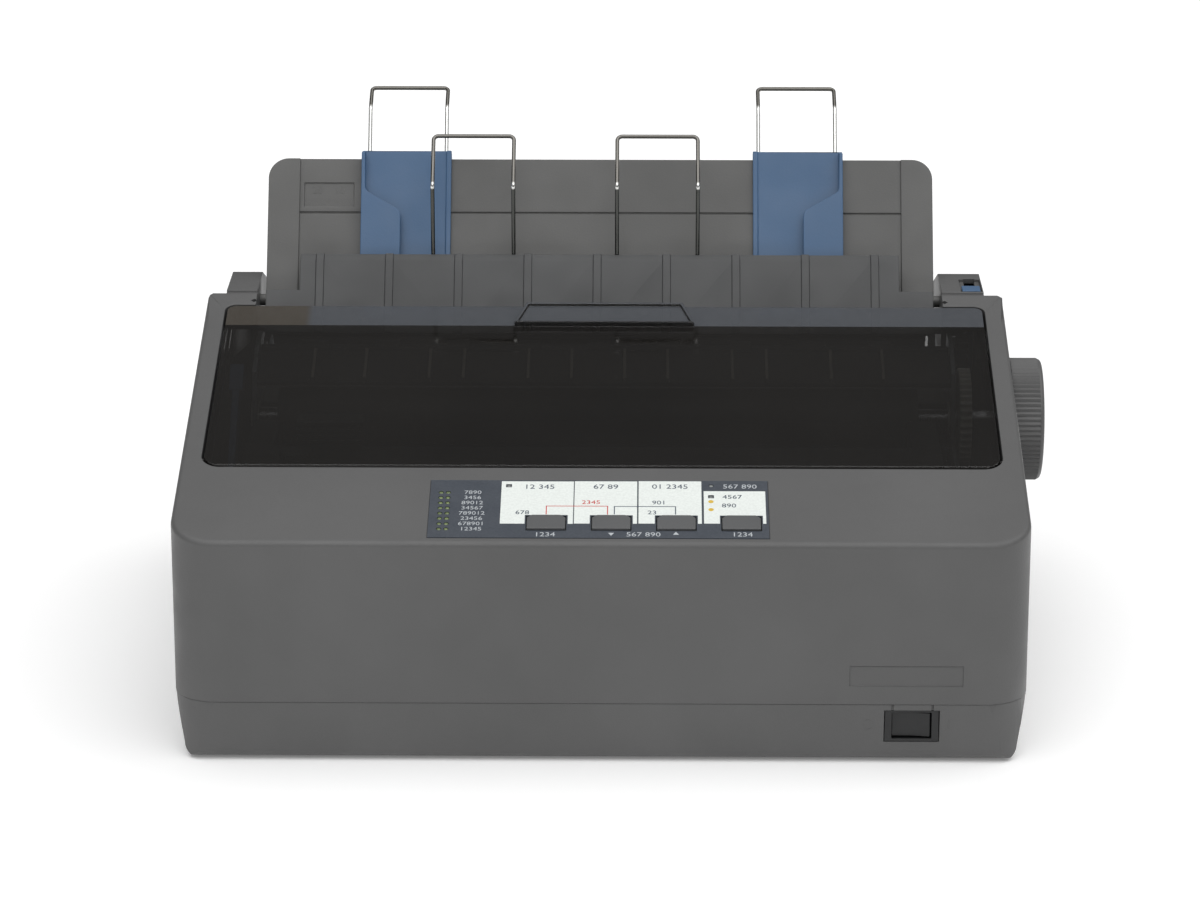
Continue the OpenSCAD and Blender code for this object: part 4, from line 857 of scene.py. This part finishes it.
def front_wire(side, x):
    left, right = x - FRONT_HALF, x + FRONT_HALF
    side_points = [(FOOT_Y, FOOT_Z), (FOOT_Y, FOOT_Z + FRONT_KNEE_UP),
                   (FOOT_Y + FRONT_TOP_BACK, FOOT_Z + FRONT_TOP_UP)]
    points = [(left + FOOT_LEN, FOOT_Y, FOOT_Z)]
    points += [(left, y, z) for y, z in side_points]
    points += [(right, y, z) for y, z in reversed(side_points)]
    points += [(right - FOOT_LEN, FOOT_Y, FOOT_Z)]
    bent_wire(side + "_front_wire", side + "_stacker_wire", front_wire_steel, points,
              Matrix.Translation(at(0, 0, 0)))


# ---- ramp ----
# a rib's top, which gets the painted highlight, is narrower than this, faces up by more than this, and has
# more area than this
RIB_W_LIMIT = 2.6
RIB_UP_LIMIT = 0.3
RIB_AREA_LIMIT = 4


def eject_ramp():
    """The ramp under the cover, the narrow top faces of its ribs painted lighter as a painted highlight."""
    bm = copy_of("eject_ramp")
    round_edges(bm, sharp_edges(bm), 0.2)
    for face in bm.faces:
        xs = [v.co.x for v in face.verts]
        narrow = max(xs) - min(xs) < RIB_W_LIMIT * MM
        large = face.calc_area() > RIB_AREA_LIMIT * MM * MM
        # the rib tops get the lighter material, a painted highlight
        face.material_index = int(narrow and face.normal.z > RIB_UP_LIMIT and large)
    made = dressed("eject_ramp", black_plastic, bm)
    made.data.materials.append(finish(rib_top_painted_highlight))


# ---- brush ----
BRUSH_BAR = (-145.5, 183.2, 140.5, 186.0, 125.4, 128.6)
TUFT_X = -145.2
TUFT_ROWS_Y = (183.6, 184.8)
TUFTS = 190
TUFT_PITCH = 1.5
TUFT_W = 1.35
TUFT_D = 0.6
TUFT_TOP_Z = 125.6
TUFT_END_Z = 116.6
TUFT_END_STEP = 0.12


def exit_brush():
    """The dust brush that hangs under the ribbed panel and keeps light out of the case."""
    bm = bmesh.new()
    slab(bm, *BRUSH_BAR)
    round_edges(bm, bm.edges[:], 0.4)
    for row, y in enumerate(TUFT_ROWS_Y):
        for i in range(TUFTS):
            x = TUFT_X + TUFT_PITCH * i + TUFT_PITCH / 2 * row
            # the tufts end at five heights in turn
            end = TUFT_END_Z + (i * 7 + row * 3) % 5 * TUFT_END_STEP
            slab(bm, x, y, x + TUFT_W, y + TUFT_D, end, TUFT_TOP_Z)
    extra("exit_brush", bm, brush_fibre, "case", Matrix.Translation(at(0, 0, 0)))


# ---- boards ----
# what is between these heights stands on the lower boards
BOARD_TOP_Z = 29.7
PARTS_TOP_Z = 60


def circuit_boards():
    """The boards, green, with the parts on the lower ones black."""
    bm = copy_of("circuit_boards")
    for face in bm.faces:
        if BOARD_TOP_Z < face.calc_center_median().z / MM < PARTS_TOP_Z:
            face.material_index = 1
    made = dressed("circuit_boards", board_green, bm)
    made.data.materials.append(finish(black_plastic))


# ---- pieces whose edges are rounded: finish, slot, and radius in millimetres ----
SOFTENED = {
    "rubber_feet": (foot_rubber, "rubber", 0.3),
    "case_screws": (turned_steel, "steel", 0.15),
    "paper_guide_cover": (ribbed_plastic, "ribbed", 0.3),
    "paper_guide": (guide_plastic, "guide_plastic", 0.3),
    "left_edge_guide": (blue_plastic, "blue", 0.3),
    "right_edge_guide": (blue_plastic, "blue", 0.3),
    "tear_off_button": (button_plastic, "button", 0.3),
    "line_feed_button": (button_plastic, "button", 0.3),
    "load_button": (button_plastic, "button", 0.3),
    "pause_button": (button_plastic, "button", 0.3),
    "power_switch_housing": (black_plastic, "black", 0.3),
    "power_switch_rocker": (black_plastic, "black", 0.3),
    "base_plate": (sheet_zinc, "zinc", 0.2),
    "side_plates": (sheet_zinc, "zinc", 0.2),
    "shaft_bushes": (white_acetal, "white_plastic", 0.2),
    "platen_gear": (white_acetal, "white_plastic", 0.12),
    "feed_motor": (sheet_zinc, "zinc", 0.3),
    "feed_pinion": (turned_steel, "steel", 0.1),
    "feed_idler_gear": (white_acetal, "white_plastic", 0.12),
    "tractor_idler_gear": (white_acetal, "white_plastic", 0.12),
    "tractor_shaft": (turned_steel, "steel", 0.15),
    "tractor_support_shaft": (turned_steel, "steel", 0.3),
    "left_tractor": (black_plastic, "black", 0.3),
    "right_tractor": (black_plastic, "black", 0.3),
    "left_tractor_cover": (black_plastic, "black", 0.3),
    "right_tractor_cover": (black_plastic, "black", 0.3),
    "left_sprocket": (white_acetal, "white_plastic", 0.3),
    "right_sprocket": (white_acetal, "white_plastic", 0.3),
    "eject_idler_gear": (white_acetal, "white_plastic", 0.12),
    "eject_rollers": (platen_rubber, "rubber", 0.15),
    "paper_pan": (black_plastic, "black", 0.15),
    "pinch_rollers": (platen_rubber, "rubber", 0.3),
    "carriage": (black_plastic, "black", 0.3),
    "print_head": (black_plastic, "black", 0.25),
    "drive_pulley": (turned_steel, "steel", 0.15),
    "idler_pulley": (turned_steel, "steel", 0.15),
    "carriage_motor": (sheet_zinc, "zinc", 0.3),
    "ribbon_cartridge": (black_plastic, "black", 0.3),
    "ribbon_knob": (black_plastic, "black", 0.25),
    "head_gap_lever": (blue_plastic, "blue", 0.3),
    "release_lever": (blue_plastic, "blue", 0.3),
    "ac_inlet": (black_plastic, "black", 0.3),
    "interface_ports": (turned_steel, "steel", 0.2),
    "platen_roller": (platen_rubber, "rubber", 0.3),
    "platen_shaft": (turned_steel, "steel", 0.3),
    "guide_shaft": (turned_steel, "steel", 0.3),
    "drive_belt": (platen_rubber, "rubber", 0.15),
}


set_camera()
set_studio()
upper_case()
lower_case()
printer_cover()
label_fields()
label_numbers()
label_figures()
label_lines()
label_dots()
panel_lamps()
paper_scale()
switch_marks()
rear_wire("left", -105.5, -71.3)
rear_wire("right", 67.9, 102.1)
front_wire("left", -58.15)
front_wire("right", 22.9)
circuit_boards()
eject_ramp()
exit_brush()
for node, (make, slot, width) in SOFTENED.items():
    softened(node, make, width)
kept("control_label", label_film)
kept("platen_knob", case_plastic)
kept("ribbon", inked_ribbon)
